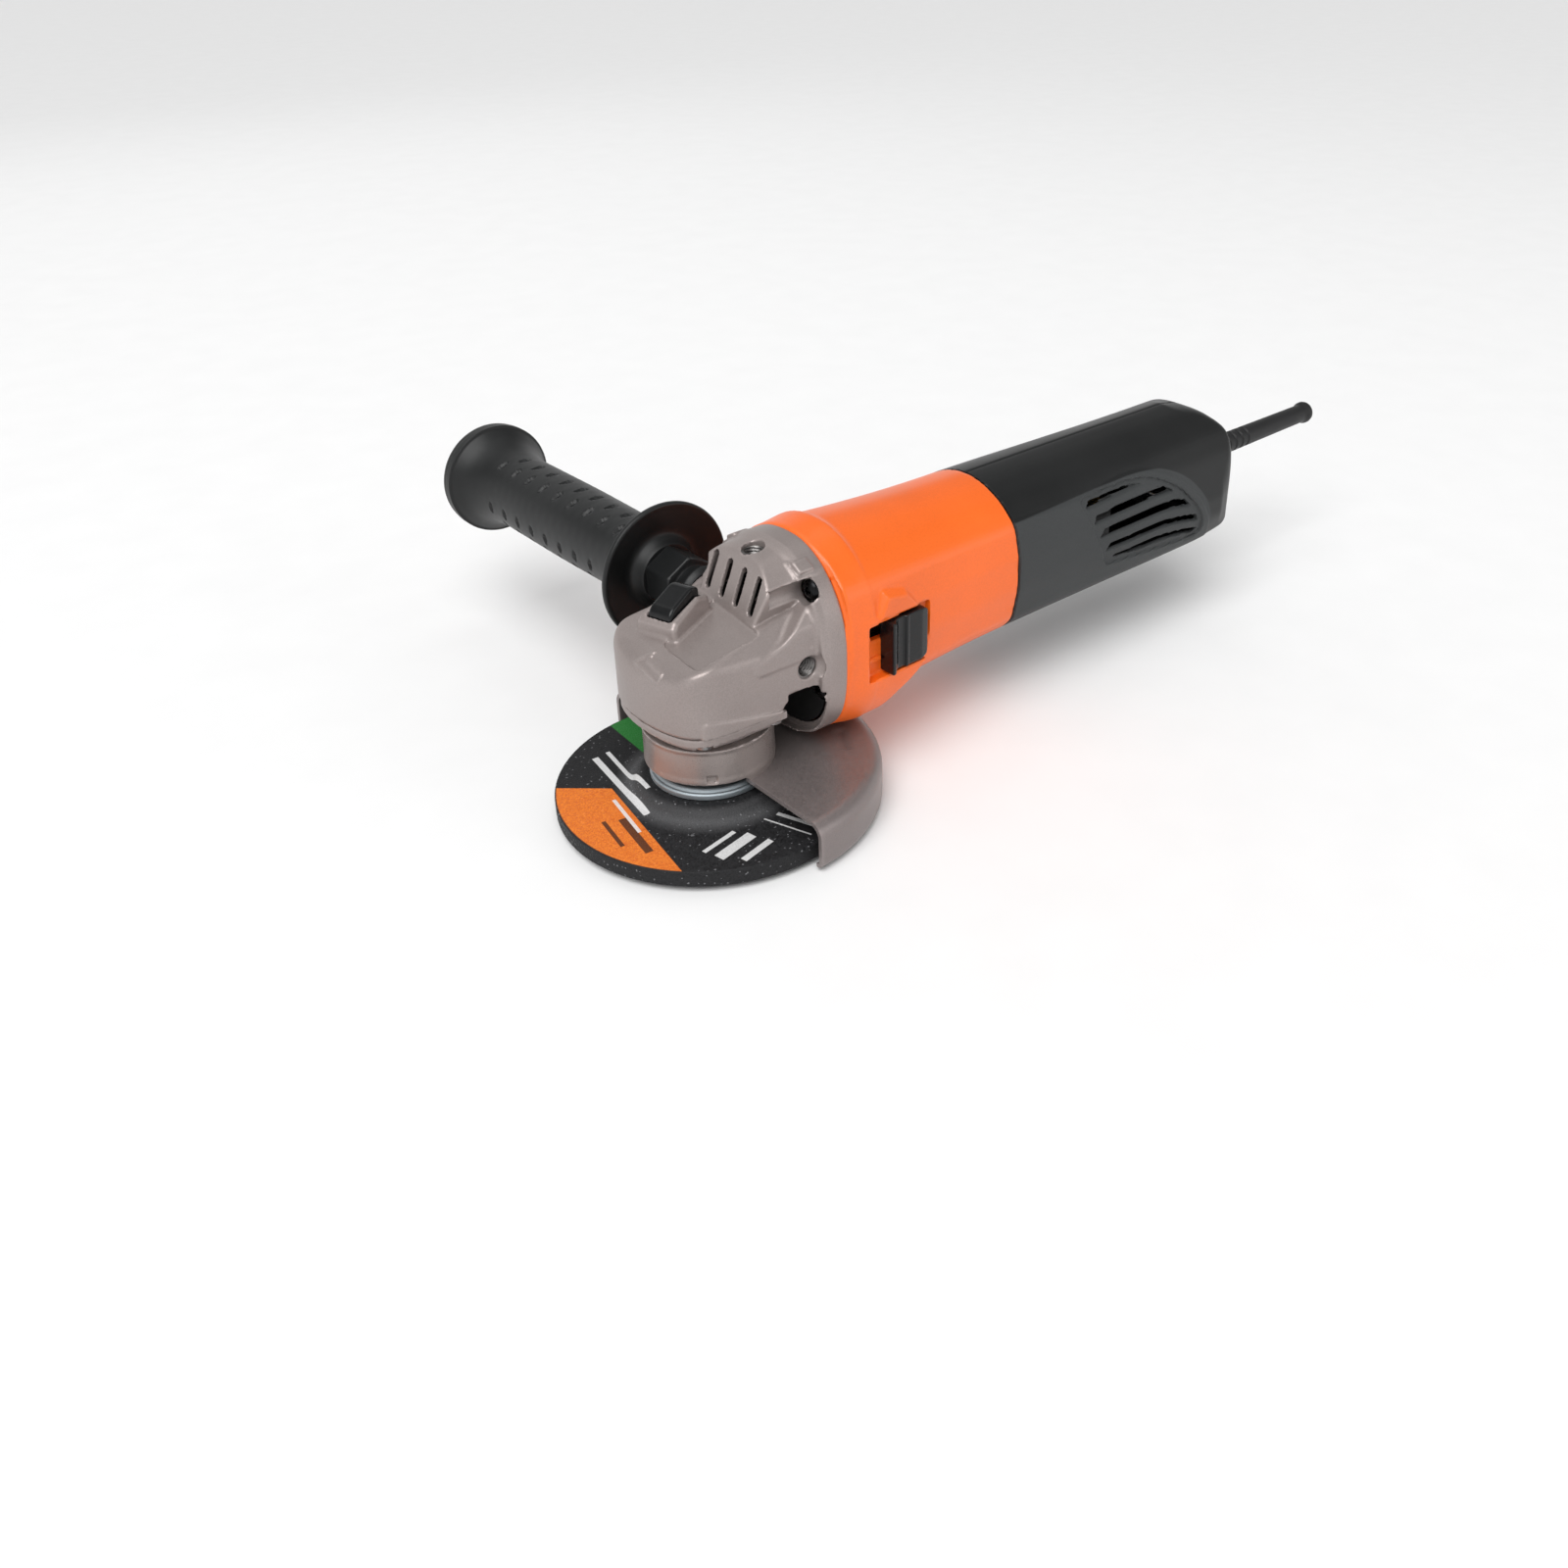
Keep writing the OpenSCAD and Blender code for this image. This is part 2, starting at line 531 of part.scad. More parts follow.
// Raised tabs on the flange, one each side of the top socket
module flange_tabs() for (s = [-1, 1]) translate([joint_x - 8, s * 17.5, joint_z + joint_h - 7.5])
    rotate([-s * 30, 0, 0])
  hull() {
    translate([-4.5, -4, -4]) cube([9, 8, 5]);
    translate([-3, -2.6, -4]) cube([6, 5.2, 7]);
  }
module gear_case() color("rosybrown") difference() {
  union() {
    difference() {
      union() {
        head_block();
        flange_body();
        flange_tabs();
        pedestal();
      }
      // room for the gears, and above them for the lock pin and bush
      z_cyl(case_z - 1, motor_z - 1, gear_r + 3);
      z_cyl(motor_z - 1 - tiny, chamber_z, gear_r - 2);
      // air chamber round the front bearing, open to the fan
      intersection() {
        along_x(joint_x - joint_l + 3, joint_x + 1) joint_outline(case_wall);
        box([0, -60, plate_z - 14], [60, 60, 200]);
      }
      // slots through the ramp into the air chamber
      for (i = [-1.5 : 1.5]) translate([0, i * slot_pitch - 1.3, 0]) ramp_slot();
      // arches beside the neck, where cooling air leaves
      for (s = [-1, 1]) along_y(s > 0 ? 16 : -60, s > 0 ? 60 : -16) polygon([
        [arch_x, 0], [arch_x, arch_z - 5], [arch_x + 2, arch_z - 1], [arch_x + 6, arch_z],
        [joint_x - 11, arch_z - 3], [joint_x - 8.5, arch_z - 9], [joint_x - joint_l + 3.5, arch_z - 12],
        [joint_x - joint_l + 3.5, 0]
      ]);
      // hollow under the flange, clear of the guard's collar
      z_cyl(0, plate_z, collar_r + 1.4);
    }
    // bearing boss and its ribs, bosses for the sockets, bush, lock pin and screws
    x_cyl(joint_x - joint_l - 6, joint_x - 1, front_bearing_r + 2.5);
    for (a = [40, 90, 270, 320]) translate([joint_x - joint_l + 2, 0, motor_z]) rotate([a, 0, 0])
      translate([0, -1.5, 0]) cube([joint_l - 3, 3, joint_w - 6]);
    y_cyl(socket_side_y - socket_depth - 3, socket_side_y, 7.5);
    y_cyl(-socket_side_y, socket_depth + 3 - socket_side_y, 7, z = right_socket_z);
    translate([socket_x, 0, 0]) z_cyl(socket_top_z - socket_depth - 3, socket_top_z - 2.5, 7);
    z_cyl(bush_z, plateau_z + 2, bush_r + 2);
    translate([lock_x, lock_y, 0]) z_cyl(bush_z, plateau_z, lock_pin_r + 3);
    for (p = case_screws) translate([screw_seat_x, p[0], p[1]]) rotate([0, 90, 0]) cylinder(h = joint_x -
        screw_seat_x, r = 4.6);
  }
  // bores
  z_cyl(motor_z - 2, bush_z + bush_l, bush_r);
  x_cyl(bush_r + 3, joint_x + 1, 9);
  x_cyl(front_bearing_x, joint_x + 1, front_bearing_r);
  y_cyl(socket_side_y - socket_depth, socket_side_y + 1, socket_d / 2);
  y_cyl(-socket_side_y - 1, socket_depth - socket_side_y, socket_d / 2, z = right_socket_z);
  translate([socket_x, 0, 0]) z_cyl(socket_top_z - socket_depth, socket_top_z + 10, socket_d / 2);
  y_cyl(socket_side_y, socket_side_y + 20, hex_r + 1.5);
  y_cyl(-socket_side_y - 0.5, 1 - socket_side_y, socket_d / 2 + 1.5, socket_d / 2, right_socket_z);
  translate([lock_x, lock_y, 0]) z_cyl(motor_z, plateau_z + 20, lock_pin_r + run);
  translate([lock_x, lock_y, 0]) z_cyl(spring_z, plateau_z + 20, lock_pin_r + 1.2);
  // pocket that the lock button sinks into
  at_button() box([-button_l / 2 - slip, -button_w / 2 - slip, pocket_z], [button_l / 2 + slip, button_w /
      2 + slip, pocket_z + 30]);
  // clear space over the screws that hold the motor housing, and their holes
  for (p = case_screws) translate([0, p[0], p[1]]) rotate([0, 90, 0]) {
    translate([0, 0, 16]) cylinder(h = screw_seat_x - 16, r = 4.3);
    cylinder(h = joint_x + 1, r = screw_r);
  }
  for (p = plate_screws) translate([p[0], p[1], case_z - 1]) cylinder(h = 11, r = screw_r);
}
module ramp_slot() along_y(0, 2.6) polygon([
  [plateau_end_x + 1.5, plateau_end_z - 2], [plateau_end_x + 1.5, plateau_end_z + 3],
  [ramp_top_x - 1, ramp_top_z + 1], [ramp_top_x + 1, ramp_top_z - 2.5],
  [joint_x - joint_l + 4, ramp_top_z - 8], [joint_x - joint_l + 4, plateau_end_z]
]);
screw_seat_x = joint_x - 7;           // where the heads of the gear case's screws bear
slot_pitch = 9.6;
arch_x = 15;
arch_z = motor_z - 12;
spring_z = pocket_z - 5;              // floor of the lock spring's pocket
case_screws = [for (s = [-1, 1], q = [[22.5, 22], [26.5, -16]]) [s * q[0], motor_z + q[1]]];
plate_screws = [for (s = [-1, 1], x = [-16, 12]) [x, s * 23.2 - s * (x < 0 ? 3.2 : 0)]];
module gear_case_screws() color("black") for (p = case_screws)
  translate([screw_seat_x, p[0], p[1]]) rotate([0, -90, 0]) screw(screw_r, 18, 3.8, 2.8);
module bearing_plate() color("rosybrown") difference() {
  union() {
    intersection() {
      hull() {
        translate([0, 0, plate_z]) linear_extrude(0.1) head_plan(3.5);
        translate([0, 0, plate_z + 2.5]) linear_extrude(case_z - plate_z - 2.5) head_plan(0.5);
      }
      box([-60, -60, 0], [arch_x - 0.2, 60, 100]);
    }
    z_cyl(neck_z, plate_z + 1, neck_r);
    z_cyl(case_z - 1, case_z + 2, gear_r + 3 - slip);
  }
  z_cyl(neck_z - 1, neck_z + 1.1, shoulder_r + slip);
  z_cyl(neck_z + 1, neck_z + 4, shoulder_r + 2.6);
  z_cyl(neck_z + 4 - tiny, bearing_z + tiny, bearing_r - 3);
  z_cyl(bearing_z, case_z + 3, bearing_r);
  z_cyl(case_z + 1, case_z + 3, gear_r + 1);
  difference() {
    z_cyl(bearing_z + bearing_t, bearing_z + bearing_t + 1.2, bearing_r + 0.8);
    z_cyl(bearing_z, case_z, bearing_r - 1);
  }
  for (p = plate_screws) translate([p[0], p[1], 0]) {
    z_cyl(0, plate_z + 2.5, 3.9);
    z_cyl(0, case_z + 3, screw_r);
  }
}
module bearing_plate_screws() color("silver") for (p = plate_screws)
  translate([p[0], p[1], plate_z + 2.5]) mirror([0, 0, 1]) screw(screw_r, 12, 3.6, 2.4);
// Black plastic piece that turns the cooling air out of both arches
module air_deflector() color("black") difference() {
  intersection() {
    along_x(joint_x - joint_l + 4, joint_x - joint_l + 7) joint_outline(case_wall + slip);
    box([0, -60, joint_z - joint_h], [60, 60, motor_z - 14]);
  }
  x_cyl(0, 100, front_bearing_r + 2.5 + slip);
  for (p = case_screws) translate([0, p[0], p[1]]) rotate([0, 90, 0]) cylinder(h = 100, r = 4.6 + slip);
}

// ---- Spindle lock ----

module lock_button() color("black") difference() {
  at_button() intersection() {
    box([-button_l / 2, -button_w / 2, button_base_z], [button_l / 2, button_w / 2, button_base_z + 20]);
    button_side(0);
  }
  translate([lock_x, lock_y, 0]) z_cyl(button_base_z - 1, button_base_z + 3, lock_pin_r);
}
module lock_pin() color("silver") translate([lock_x, lock_y, 0]) z_cyl(pin_tip_z, button_base_z + 3,
    lock_pin_r);
module lock_spring() color("silver") translate([lock_x, lock_y, spring_z])
  spring(lock_pin_r + 0.7, 0.3, 3, button_base_z - spring_z);

// ---- Motor ----

module armature_shaft() color("silver") {
  x_cyl(gear_r * inner_share + 0.5, gear_r + 2, 2.4);
  x_cyl(gear_r + 1, front_bearing_x, shaft_end_r);
  x_cyl(front_bearing_x - 1, rear_bearing_x - 1, shaft_r);
  x_cyl(rear_bearing_x - 2, rear_bearing_x + rear_bearing_t, shaft_end_r);
}
module pinion() color("slategray") difference() {
  union() {
    translate([gear_r, 0, motor_z]) rotate([0, -90, 0])
      linear_extrude(gear_r - gear_in_r, scale = inner_share) scale(gear_r)
        bevel_section(pinion_teeth, 90 - gear_cone, pinion_teeth % 2 == 1);
    x_cyl(gear_r, front_bearing_x - 1, 6.6);
  }
  x_cyl(0, gear_r + 1, 2.4);
  x_cyl(gear_r + 1, front_bearing_x, shaft_end_r);
}
module front_bearing() color("lightsteelblue") difference() {
  x_ring(front_bearing_x, front_bearing_x + front_bearing_t, front_bearing_r, shaft_r + run);
  for (x = [front_bearing_x - tiny, front_bearing_x + front_bearing_t - 0.5])
    x_ring(x, x + 0.5 + tiny, front_bearing_r - 2, shaft_r + 2);
}
module rear_bearing() color("lightsteelblue") difference() {
  x_ring(rear_bearing_x, rear_bearing_x + rear_bearing_t, rear_bearing_r, shaft_end_r + run);
  for (x = [rear_bearing_x - tiny, rear_bearing_x + rear_bearing_t - 0.5])
    x_ring(x, x + 0.5 + tiny, rear_bearing_r - 2, shaft_end_r + 2);
}
module bearing_sleeve() color("black")
  x_ring(rear_bearing_x, rear_bearing_x + rear_bearing_t, rear_bearing_r + 1.5, rear_bearing_r);
// Hub and back plate with straight blades
module fan() color("whitesmoke") difference() {
  union() {
    x_cyl(fan_x, fan_x + 12, 9);
    x_cyl(fan_x + 10, fan_x + 12, fan_r);
    for (a = [0 : 24 : 359]) translate([fan_x, 0, motor_z]) rotate([a, 0, 0])
      translate([0, -0.8, 13]) cube([11, 1.6, fan_r - 13.5]);
    x_ring(fan_x + 8, fan_x + 12, 15, 8);
  }
  x_cyl(0, 200, shaft_r);
}
module armature_core() color("gray") difference() {
  x_cyl(core_x, core_end_x, armature_r);
  x_cyl(0, 300, shaft_r);
  for (a = [0 : 30 : 359]) translate([core_x - 1, 0, motor_z]) rotate([a, 0, 0])
    translate([0, -0.8, armature_r - 4]) cube([core_l + 2, 1.6, 6]);
}
module armature_windings() color("peru") difference() {
  union() {
    x_cyl(core_x - 7, core_x, armature_r - 5, armature_r - 1.5);
    x_cyl(core_end_x, core_end_x + 7, armature_r - 1.5, armature_r - 5);
  }
  x_cyl(0, 300, shaft_r);
}
module commutator() color("chocolate") difference() {
  union() {
    x_cyl(commutator_x, commutator_x + commutator_l, commutator_r);
    x_cyl(commutator_x - 3, commutator_x, commutator_r + 1.2);
  }
  x_cyl(0, 300, shaft_r);
  for (a = [0 : 15 : 359]) translate([commutator_x, 0, motor_z]) rotate([a, 0, 0])
    translate([0, -0.25, commutator_r - 0.7]) cube([commutator_l + 1, 0.5, 2]);
}
// Wall behind the fan, notched where the switch rod passes
module fan_baffle() color("black") difference() {
  x_ring(fan_x + 14, fan_x + 15.6, body_in_r, armature_r + 4);
  box([fan_x, -60, motor_z - rod_h / 2 - 1], [fan_x + 30, 2 - rod_y, motor_z + rod_h / 2 + 1]);
}
module stator_core() color("darkgray") difference() {
  x_cyl(core_x, core_end_x, stator_r);
  x_cyl(0, 300, armature_r + air_gap);
  for (s = [-1, 1]) translate([core_x - 1, 0, motor_z]) intersection() {
    rotate([0, 90, 0]) cylinder(h = core_l + 2, r = stator_r - 3.5);
    translate([0, s > 0 ? 8 : -stator_r, -10]) cube([core_l + 2, stator_r - 8, 20]);
  }
  for (s = [-1, 1]) translate([core_x - 1, 0, motor_z + s * (stator_r - 3)]) rotate([0, 90, 0])
    cylinder(h = core_l + 2, r = 1.8);
}
module stator_coils() color("sienna") for (s = [-1, 1]) translate([core_x, 0, motor_z]) difference() {
  intersection() {
    rotate([0, 90, 0]) translate([0, 0, -6]) cylinder(h = core_l + 12, r = stator_r - 4);
    translate([-6, s > 0 ? 8.5 : -stator_r, -9.5]) cube([core_l + 12, stator_r - 8.5, 19]);
  }
  rotate([0, 90, 0]) translate([0, 0, -7]) cylinder(h = core_l + 14, r = armature_r + air_gap + 0.3);
}
module stator_screws() color("silver") for (s = [-1, 1])
  translate([core_x, 0, motor_z + s * (stator_r - 3)]) rotate([0, -90, 0]) screw(1.8, core_l + 7, 3.2, 2.2);

// Places the children above and below the commutator, pointing outwards
module at_brush(up) translate([brush_x, 0, motor_z]) rotate([up ? 0 : 180, 0, 0]) children();
module brush_box(grow, r0, r1) translate([-brush_size[0] / 2 - grow, -brush_size[1] / 2 - grow, r0])
  cube([brush_size[0] + 2 * grow, brush_size[1] + 2 * grow, r1 - r0]);
module brush_holders() color("gold") for (up = [true, false]) at_brush(up) difference() {
  brush_box(brush_wall, holder_r0, holder_r1);
  brush_box(0.1, holder_r0 - 1, holder_r1 + 1);
}
module brush_caps() color("black") for (up = [true, false]) at_brush(up)
  brush_box(brush_wall, holder_r1, holder_r1 + cap_t);
module upper_brush() color("darkslategray") at_brush(true) brush_box(0, brush_r0, brush_r0 + brush_l);
module lower_brush() color("darkslategray") at_brush(false) brush_box(0, brush_r0, brush_r0 + brush_l);
module brush_spring() translate([0, 0, brush_r0 + brush_l]) spring(2, 0.35, 4, holder_r1 - brush_r0 -
    brush_l);
module upper_brush_spring() color("silver") at_brush(true) brush_spring();
module lower_brush_spring() color("silver") at_brush(false) brush_spring();

// ---- Motor housing ----

module body_outline(inset = 0, wide = 0) {
  translate([0, motor_z]) polygon(outline(body_w + wide - inset, body_up - inset, body_down - inset, 2.4,
      2.6));
}
module motor_housing() color("darkorange") difference() {
  union() {
    difference() {
      union() {
        hull() {
          along_x(joint_x, joint_x + 1) joint_outline();
          along_x(joint_x + 12, joint_x + 14) joint_outline(-collar_flare);
        }
        hull() {
          along_x(joint_x + 14, joint_x + 14.5) joint_outline(1.2 - collar_flare);
          along_x(joint_x + 34, joint_x + 34.5) body_outline();
        }
        along_x(joint_x + 30, body_end_x) body_outline();
      }
      x_cyl(joint_x - 1, body_end_x - wall, body_in_r);
      x_cyl(body_end_x - wall - 1, body_end_x + 1, spigot_r - 2);
    }
    // spigot inside the rear housing, with the rear bearing's seat
    x_ring(body_end_x - wall - 1, spigot_end_x, spigot_r, spigot_r - 2);
    x_ring(spigot_end_x - rear_bearing_t - 3, spigot_end_x, rear_bearing_r + 4, rear_bearing_r + 1.5);
    x_ring(spigot_end_x - 3, spigot_end_x, rear_bearing_r + 3, shaft_end_r + 2);
    for (a = [45 : 90 : 359]) translate([spigot_end_x - 8, 0, motor_z]) rotate([a, 0, 0])
      translate([0, -1.5, rear_bearing_r + 3]) cube([8, 3, spigot_r - rear_bearing_r - 4]);
    // ribs that centre the stator, and lugs for its screws
    for (a = [40, 140, 220, 320]) translate([core_x, 0, motor_z]) rotate([a, 0, 0])
      translate([0, -2, stator_r]) cube([core_l, 4, body_in_r - stator_r + 0.6]);
    for (s = [-1, 1]) translate([core_end_x + 1, 0, motor_z + s * (stator_r - 3)]) difference() {
      translate([0, -4, s > 0 ? -3.5 : -7]) cube([8, 8, 10.5]);
      rotate([0, 90, 0]) translate([0, 0, -1]) cylinder(h = 10, r = 1.8);
    }
  }
  // openings for the brush holders
  for (up = [true, false]) at_brush(up) brush_box(brush_wall, spigot_r - 6, spigot_r + 5);
  // recess of the slide switch, the slot under it, and the way for its rod
  box([recess_x, -60, recess_z - recess_h / 2],
      [slider_x + slider_l + 1, -recess_y, recess_z + recess_h / 2]);
  box([slider_x + 2 - switch_travel, -recess_y - 1, motor_z - rod_h / 2 - 0.5],
      [slider_x + slider_l - 4, -body_in_r + 3, motor_z + rod_h / 2 + 0.5]);
  box([body_end_x - 10, -body_in_r - 0.2, motor_z - rod_h / 2 - 0.5],
      [body_end_x + 1, -rod_y + slip, motor_z + rod_h / 2 + 0.5]);
  // holes for the gear case's screws
  for (p = case_screws) translate([joint_x - 1, p[0], p[1]]) rotate([0, 90, 0]) cylinder(h = 14, r = screw_r);
}

// ---- Switch ----

// Thumb piece with a scooped face, a foot in the recess and a neck down to the rod
module switch_slider() color("black") {
  difference() {
    along_y(-slider_y, -recess_y - 0.2) polygon([
      [slider_x, recess_z - recess_h / 2 + 0.6], [slider_x + slider_l - 2, recess_z - recess_h / 2 + 0.6],
      [slider_x + slider_l, recess_z - recess_h / 2 + 3], [slider_x + slider_l, recess_z + recess_h / 2 - 3],
      [slider_x + slider_l - 2, recess_z + recess_h / 2 - 0.6], [slider_x, recess_z + recess_h / 2 - 0.6]
    ]);
    translate([slider_x + slider_l * 0.52, -slider_y - 14, recess_z - 30]) cylinder(h = 60, r = 16);
  }
  translate([slider_x + slider_l * 0.52, -slider_y + 1.6, recess_z])
    cube([1.4, 2.4, recess_h - 3], center = true);
  box([slider_x + 3, -recess_y - 0.3, motor_z - rod_h / 2], [slider_x + slider_l - 6, -rod_y - rod_t,
      motor_z + rod_h / 2]);
}
module switch_rod() color("dimgray") {
  box([slider_x + 3, -rod_y - rod_t, motor_z - rod_h / 2], [switch_x + 16, -rod_y, motor_z + rod_h / 2]);
  box([switch_x + 13, -rod_y, motor_z - rod_h / 2], [switch_x + 16, -19.4, motor_z + rod_h / 2]);
}
module switch_body() box([switch_x, 1.5 - rod_y, motor_z - 11], [switch_x + 28, -8, motor_z + 11]);
module switch_block() color("dimgray") difference() {
  switch_body();
  box([switch_x + 12.5 - switch_travel, -60, motor_z - rod_h / 2 - 0.5],
      [switch_x + 16.5, -19, motor_z + rod_h / 2 + 0.5]);
}
module capacitor_body() box([switch_x + 34, -9, motor_z + 8], [switch_x + 58, 9, motor_z + 22]);
module capacitor() color("goldenrod") capacitor_body();

// ---- Rear housing ----

// Plan of the rear housing, with rounded rear corners
module rear_plan(inset) polygon([
  for (p = [
    [body_end_x - 2, -body_w], [body_end_x + 30, -rear_w], [rear_end_x - 14, -rear_w], [rear_end_x - 5, 3 -
        rear_w],
    [rear_end_x, 9 - rear_w], [rear_end_x, rear_w - 9], [rear_end_x - 5, rear_w - 3], [rear_end_x - 14,
        rear_w],
    [body_end_x + 30, rear_w], [body_end_x - 2, body_w]
  ]) [p[0] - (p[0] > rear_end_x - 4 ? inset : 0), p[1] - sign(p[1]) * inset]
]);
// Side view of the rear housing, rising underneath and rounded at its end
module rear_side(inset) polygon([
  for (p = [
    [body_end_x - 2, -body_down - 9], [body_end_x - 2, body_up + 9], [rear_end_x - 22, body_up + 9],
    [rear_end_x - 22, body_up], [rear_end_x - 8, body_up - 3.5], [rear_end_x, body_up - 11],
    [rear_end_x, 14 - body_down], [rear_end_x - 6, 9.5 - body_down], [rear_end_x - 34, 2.5 - body_down],
    [rear_end_x - 40, -body_down], [rear_end_x - 40, -body_down - 9]
  ]) [p[0] - (p[0] > rear_end_x - 4 ? inset : 0), motor_z + p[1] - sign(p[1]) * inset]
]);
module rear_shape(inset = 0) intersection() {
  along_x(body_end_x - (inset > 0 ? 1 : 0), rear_end_x)
    translate([0, motor_z]) polygon(outline(rear_w - inset, body_up - inset, body_down - inset, 2.4, 2.6));
  along_y(-60, 60) rear_side(inset);
  linear_extrude(200) rear_plan(inset);
}
// Slots of one louvre window: tips on a slant in front, ends on an arc behind
module louvres() for (i = [0 : louvre_n - 1]) {
  dz = (louvre_n - 1) / 2 - i;
  x0 = body_end_x + 51 - dz * 3.4;
  x1 = body_end_x + 116 - 3.2 * pow(dz + 1.2, 2) / 1.6 - 3 * (dz + 1.2);
  along_y(-80, 80) polygon([
    [x0, louvre_z + dz * louvre_pitch - louvre_h / 2], [x0 + 4, louvre_z + dz * louvre_pitch + louvre_h / 2],
    [x1, louvre_z + dz * louvre_pitch + louvre_h / 2], [x1, louvre_z + dz * louvre_pitch - louvre_h / 2]
  ]);
}
// Ribs across the rear housing that hold the switch and the capacitor
module rear_ribs() difference() {
  for (x = [5, 22, 38, 52]) box([switch_x + x, -60, motor_z - 14], [switch_x + x + 1.6, x < 30 ? 0 : 60,
      motor_z + 26]);
  switch_body();
  capacitor_body();
  box([switch_x, -60, motor_z - rod_h / 2 - 1], [switch_x + 30, -20, motor_z + rod_h / 2 + 1]);
  box([switch_x, -8, 0], [rear_end_x, 60, motor_z + 8]);
  box([switch_x + 30, -60, 0], [rear_end_x, 60, motor_z + 4]);
}
// One half of the rear housing: side is -1 for the right half and 1 for the left
module rear_half(side) difference() {
  union() {
    difference() {
      intersection() {
        rear_shape();
        box([0, side > 0 ? 0 : -60, 0], [500, side > 0 ? 60 : 0, 200]);
      }
      rear_shape(wall);
      louvres();
    }
    intersection() {
      union() {
        for (p = rear_screws) translate([p[0], 0, p[1]]) rotate([90, 0, 0]) cylinder(h = 80, r = boss_r,
            center = true);
        x_ring(rear_end_x - 9, rear_end_x - 1, sleeve_r + 5, sleeve_r + 0.1);
        rear_ribs();
        if (side < 0) for (s = [-1, 1]) translate([clamp_x, -30, motor_z + s * clamp_pitch / 2])
            rotate([-90, 0, 0])
          cylinder(h = 30 - cord_d / 2 + 2, r = boss_r);
      }
      rear_shape(0.5);
      box([0, side > 0 ? 0 : -60, 0], [500, side > 0 ? 60 : 0, 200]);
    }
  }
  // sleeve groove, screw holes and counterbores in the left half
  x_cyl(rear_end_x - 12, rear_end_x + 1, sleeve_r + 0.1);
  x_cyl(rear_end_x - 6, rear_end_x - 3.5, sleeve_r + 2.6);
  for (p = rear_screws) translate([p[0], 0, p[1]]) {
    rotate([90, 0, 0]) cylinder(h = 36, r = screw_r, center = true);
    if (side > 0) translate([0, 8, 0]) rotate([-90, 0, 0]) cylinder(h = 60, r = 3.4);
  }
  if (side < 0) for (s = [-1, 1]) translate([clamp_x, -16, motor_z + s * clamp_pitch / 2]) rotate([-90, 0, 0])
    cylinder(h = 30, r = 1.5);
}
module rear_housing_right() color("dimgray") rear_half(-1);
module rear_housing_left() color("dimgray") rear_half(1);
module rear_housing_screws() color("silver") for (p = rear_screws)
  translate([p[0], 8, p[1]]) rotate([-90, 0, 0]) screw(screw_r, 24, 3.3, 2.4);

// ---- Cord entry ----

module cord_clamp() color("dimgray") difference() {
  box([clamp_x - 4, 2 - cord_d / 2, motor_z - clamp_pitch / 2 - 4.5],
      [clamp_x + 4, 6, motor_z + clamp_pitch / 2 + 4.5]);
  x_cyl(0, 400, cord_d / 2 + 0.1);
  for (s = [-1, 1]) translate([clamp_x, -20, motor_z + s * clamp_pitch / 2]) rotate([-90, 0, 0])
    cylinder(h = 40, r = 1.5);
}
module cord_clamp_screws() color("silver") for (s = [-1, 1])
  translate([clamp_x, 6, motor_z + s * clamp_pitch / 2]) rotate([-90, 0, 0]) screw(1.5, 18, 2.9, 2);
module cord_sleeve() color("black") difference() {
  union() {
    x_cyl(rear_end_x - 11, rear_end_x, sleeve_r);
    x_cyl(rear_end_x - 5.9, rear_end_x - 3.6, sleeve_r + 2.5);
    x_cyl(rear_end_x, sleeve_end_x - 4, sleeve_r, sleeve_tip_r);
    x_cyl(sleeve_end_x - 4, sleeve_end_x - 1, sleeve_tip_r, sleeve_tip_r + 0.9);
    x_cyl(sleeve_end_x - 1, sleeve_end_x, sleeve_tip_r + 0.9);
  }
  x_cyl(rear_end_x - 12, sleeve_end_x + 1, cord_d / 2);
}

// ---- Side handle ----

module handle_stud() color("silver") {
  y_cyl(socket_side_y - socket_depth + 1.5, collar_y, stud_r);
  y_cyl(collar_y, handle_y + 34, 4);
}
module handle_collar() color("black") difference() {
  union() {
    y_cyl(collar_y, collar_y + 2, 9.5, 11);
    y_cyl(collar_y + 2, collar_y + 9, 11, 8.5);
    translate([socket_x, collar_y + 9, left_socket_z]) rotate([-90, 0, 0]) cylinder(h = handle_y - collar_y
        - 12, r = hex_r, $fn = 6);
  }
  y_cyl(collar_y - 1, collar_y + 40, 4);
}
module handle_grip() color("black") difference() {
  translate([socket_x, handle_y, left_socket_z]) rotate([-90, 0, 0]) rotate_extrude() polygon([
    [4, -3], [12, -3], [13, 2.5], [shield_r - 1.5, -1.6], [shield_r, -1], [shield_r, 0.6], [grip_r + 2, 6],
    [grip_r, 10], [grip_r - 0.6, 20], [grip_r, handle_l * 0.45], [grip_r - 0.4, handle_l - 26],
    [grip_r + 1.6, handle_l - 17], [knob_r - 1, handle_l - 9], [knob_r, handle_l - 7.5], [knob_r, handle_l
        - 5],
    [grip_r - 4, handle_l - 5], [grip_r - 4, 44], [4, 40]
  ]);
  y_cyl(handle_y - 10, handle_y + 34, 4);
}
module handle_end_cap() color("black") translate([socket_x, handle_y, left_socket_z]) rotate([-90, 0, 0])
  rotate_extrude() polygon([
    [0, handle_l - 5], [0, handle_l], [knob_r - 4, handle_l], [knob_r - 0.8, handle_l - 1.6],
    [knob_r - 0.4, handle_l - 5], [grip_r - 4.4, handle_l - 5], [grip_r - 4.4, handle_l - 10],
    [grip_r - 7, handle_l - 10], [grip_r - 7, handle_l - 5]
  ]);

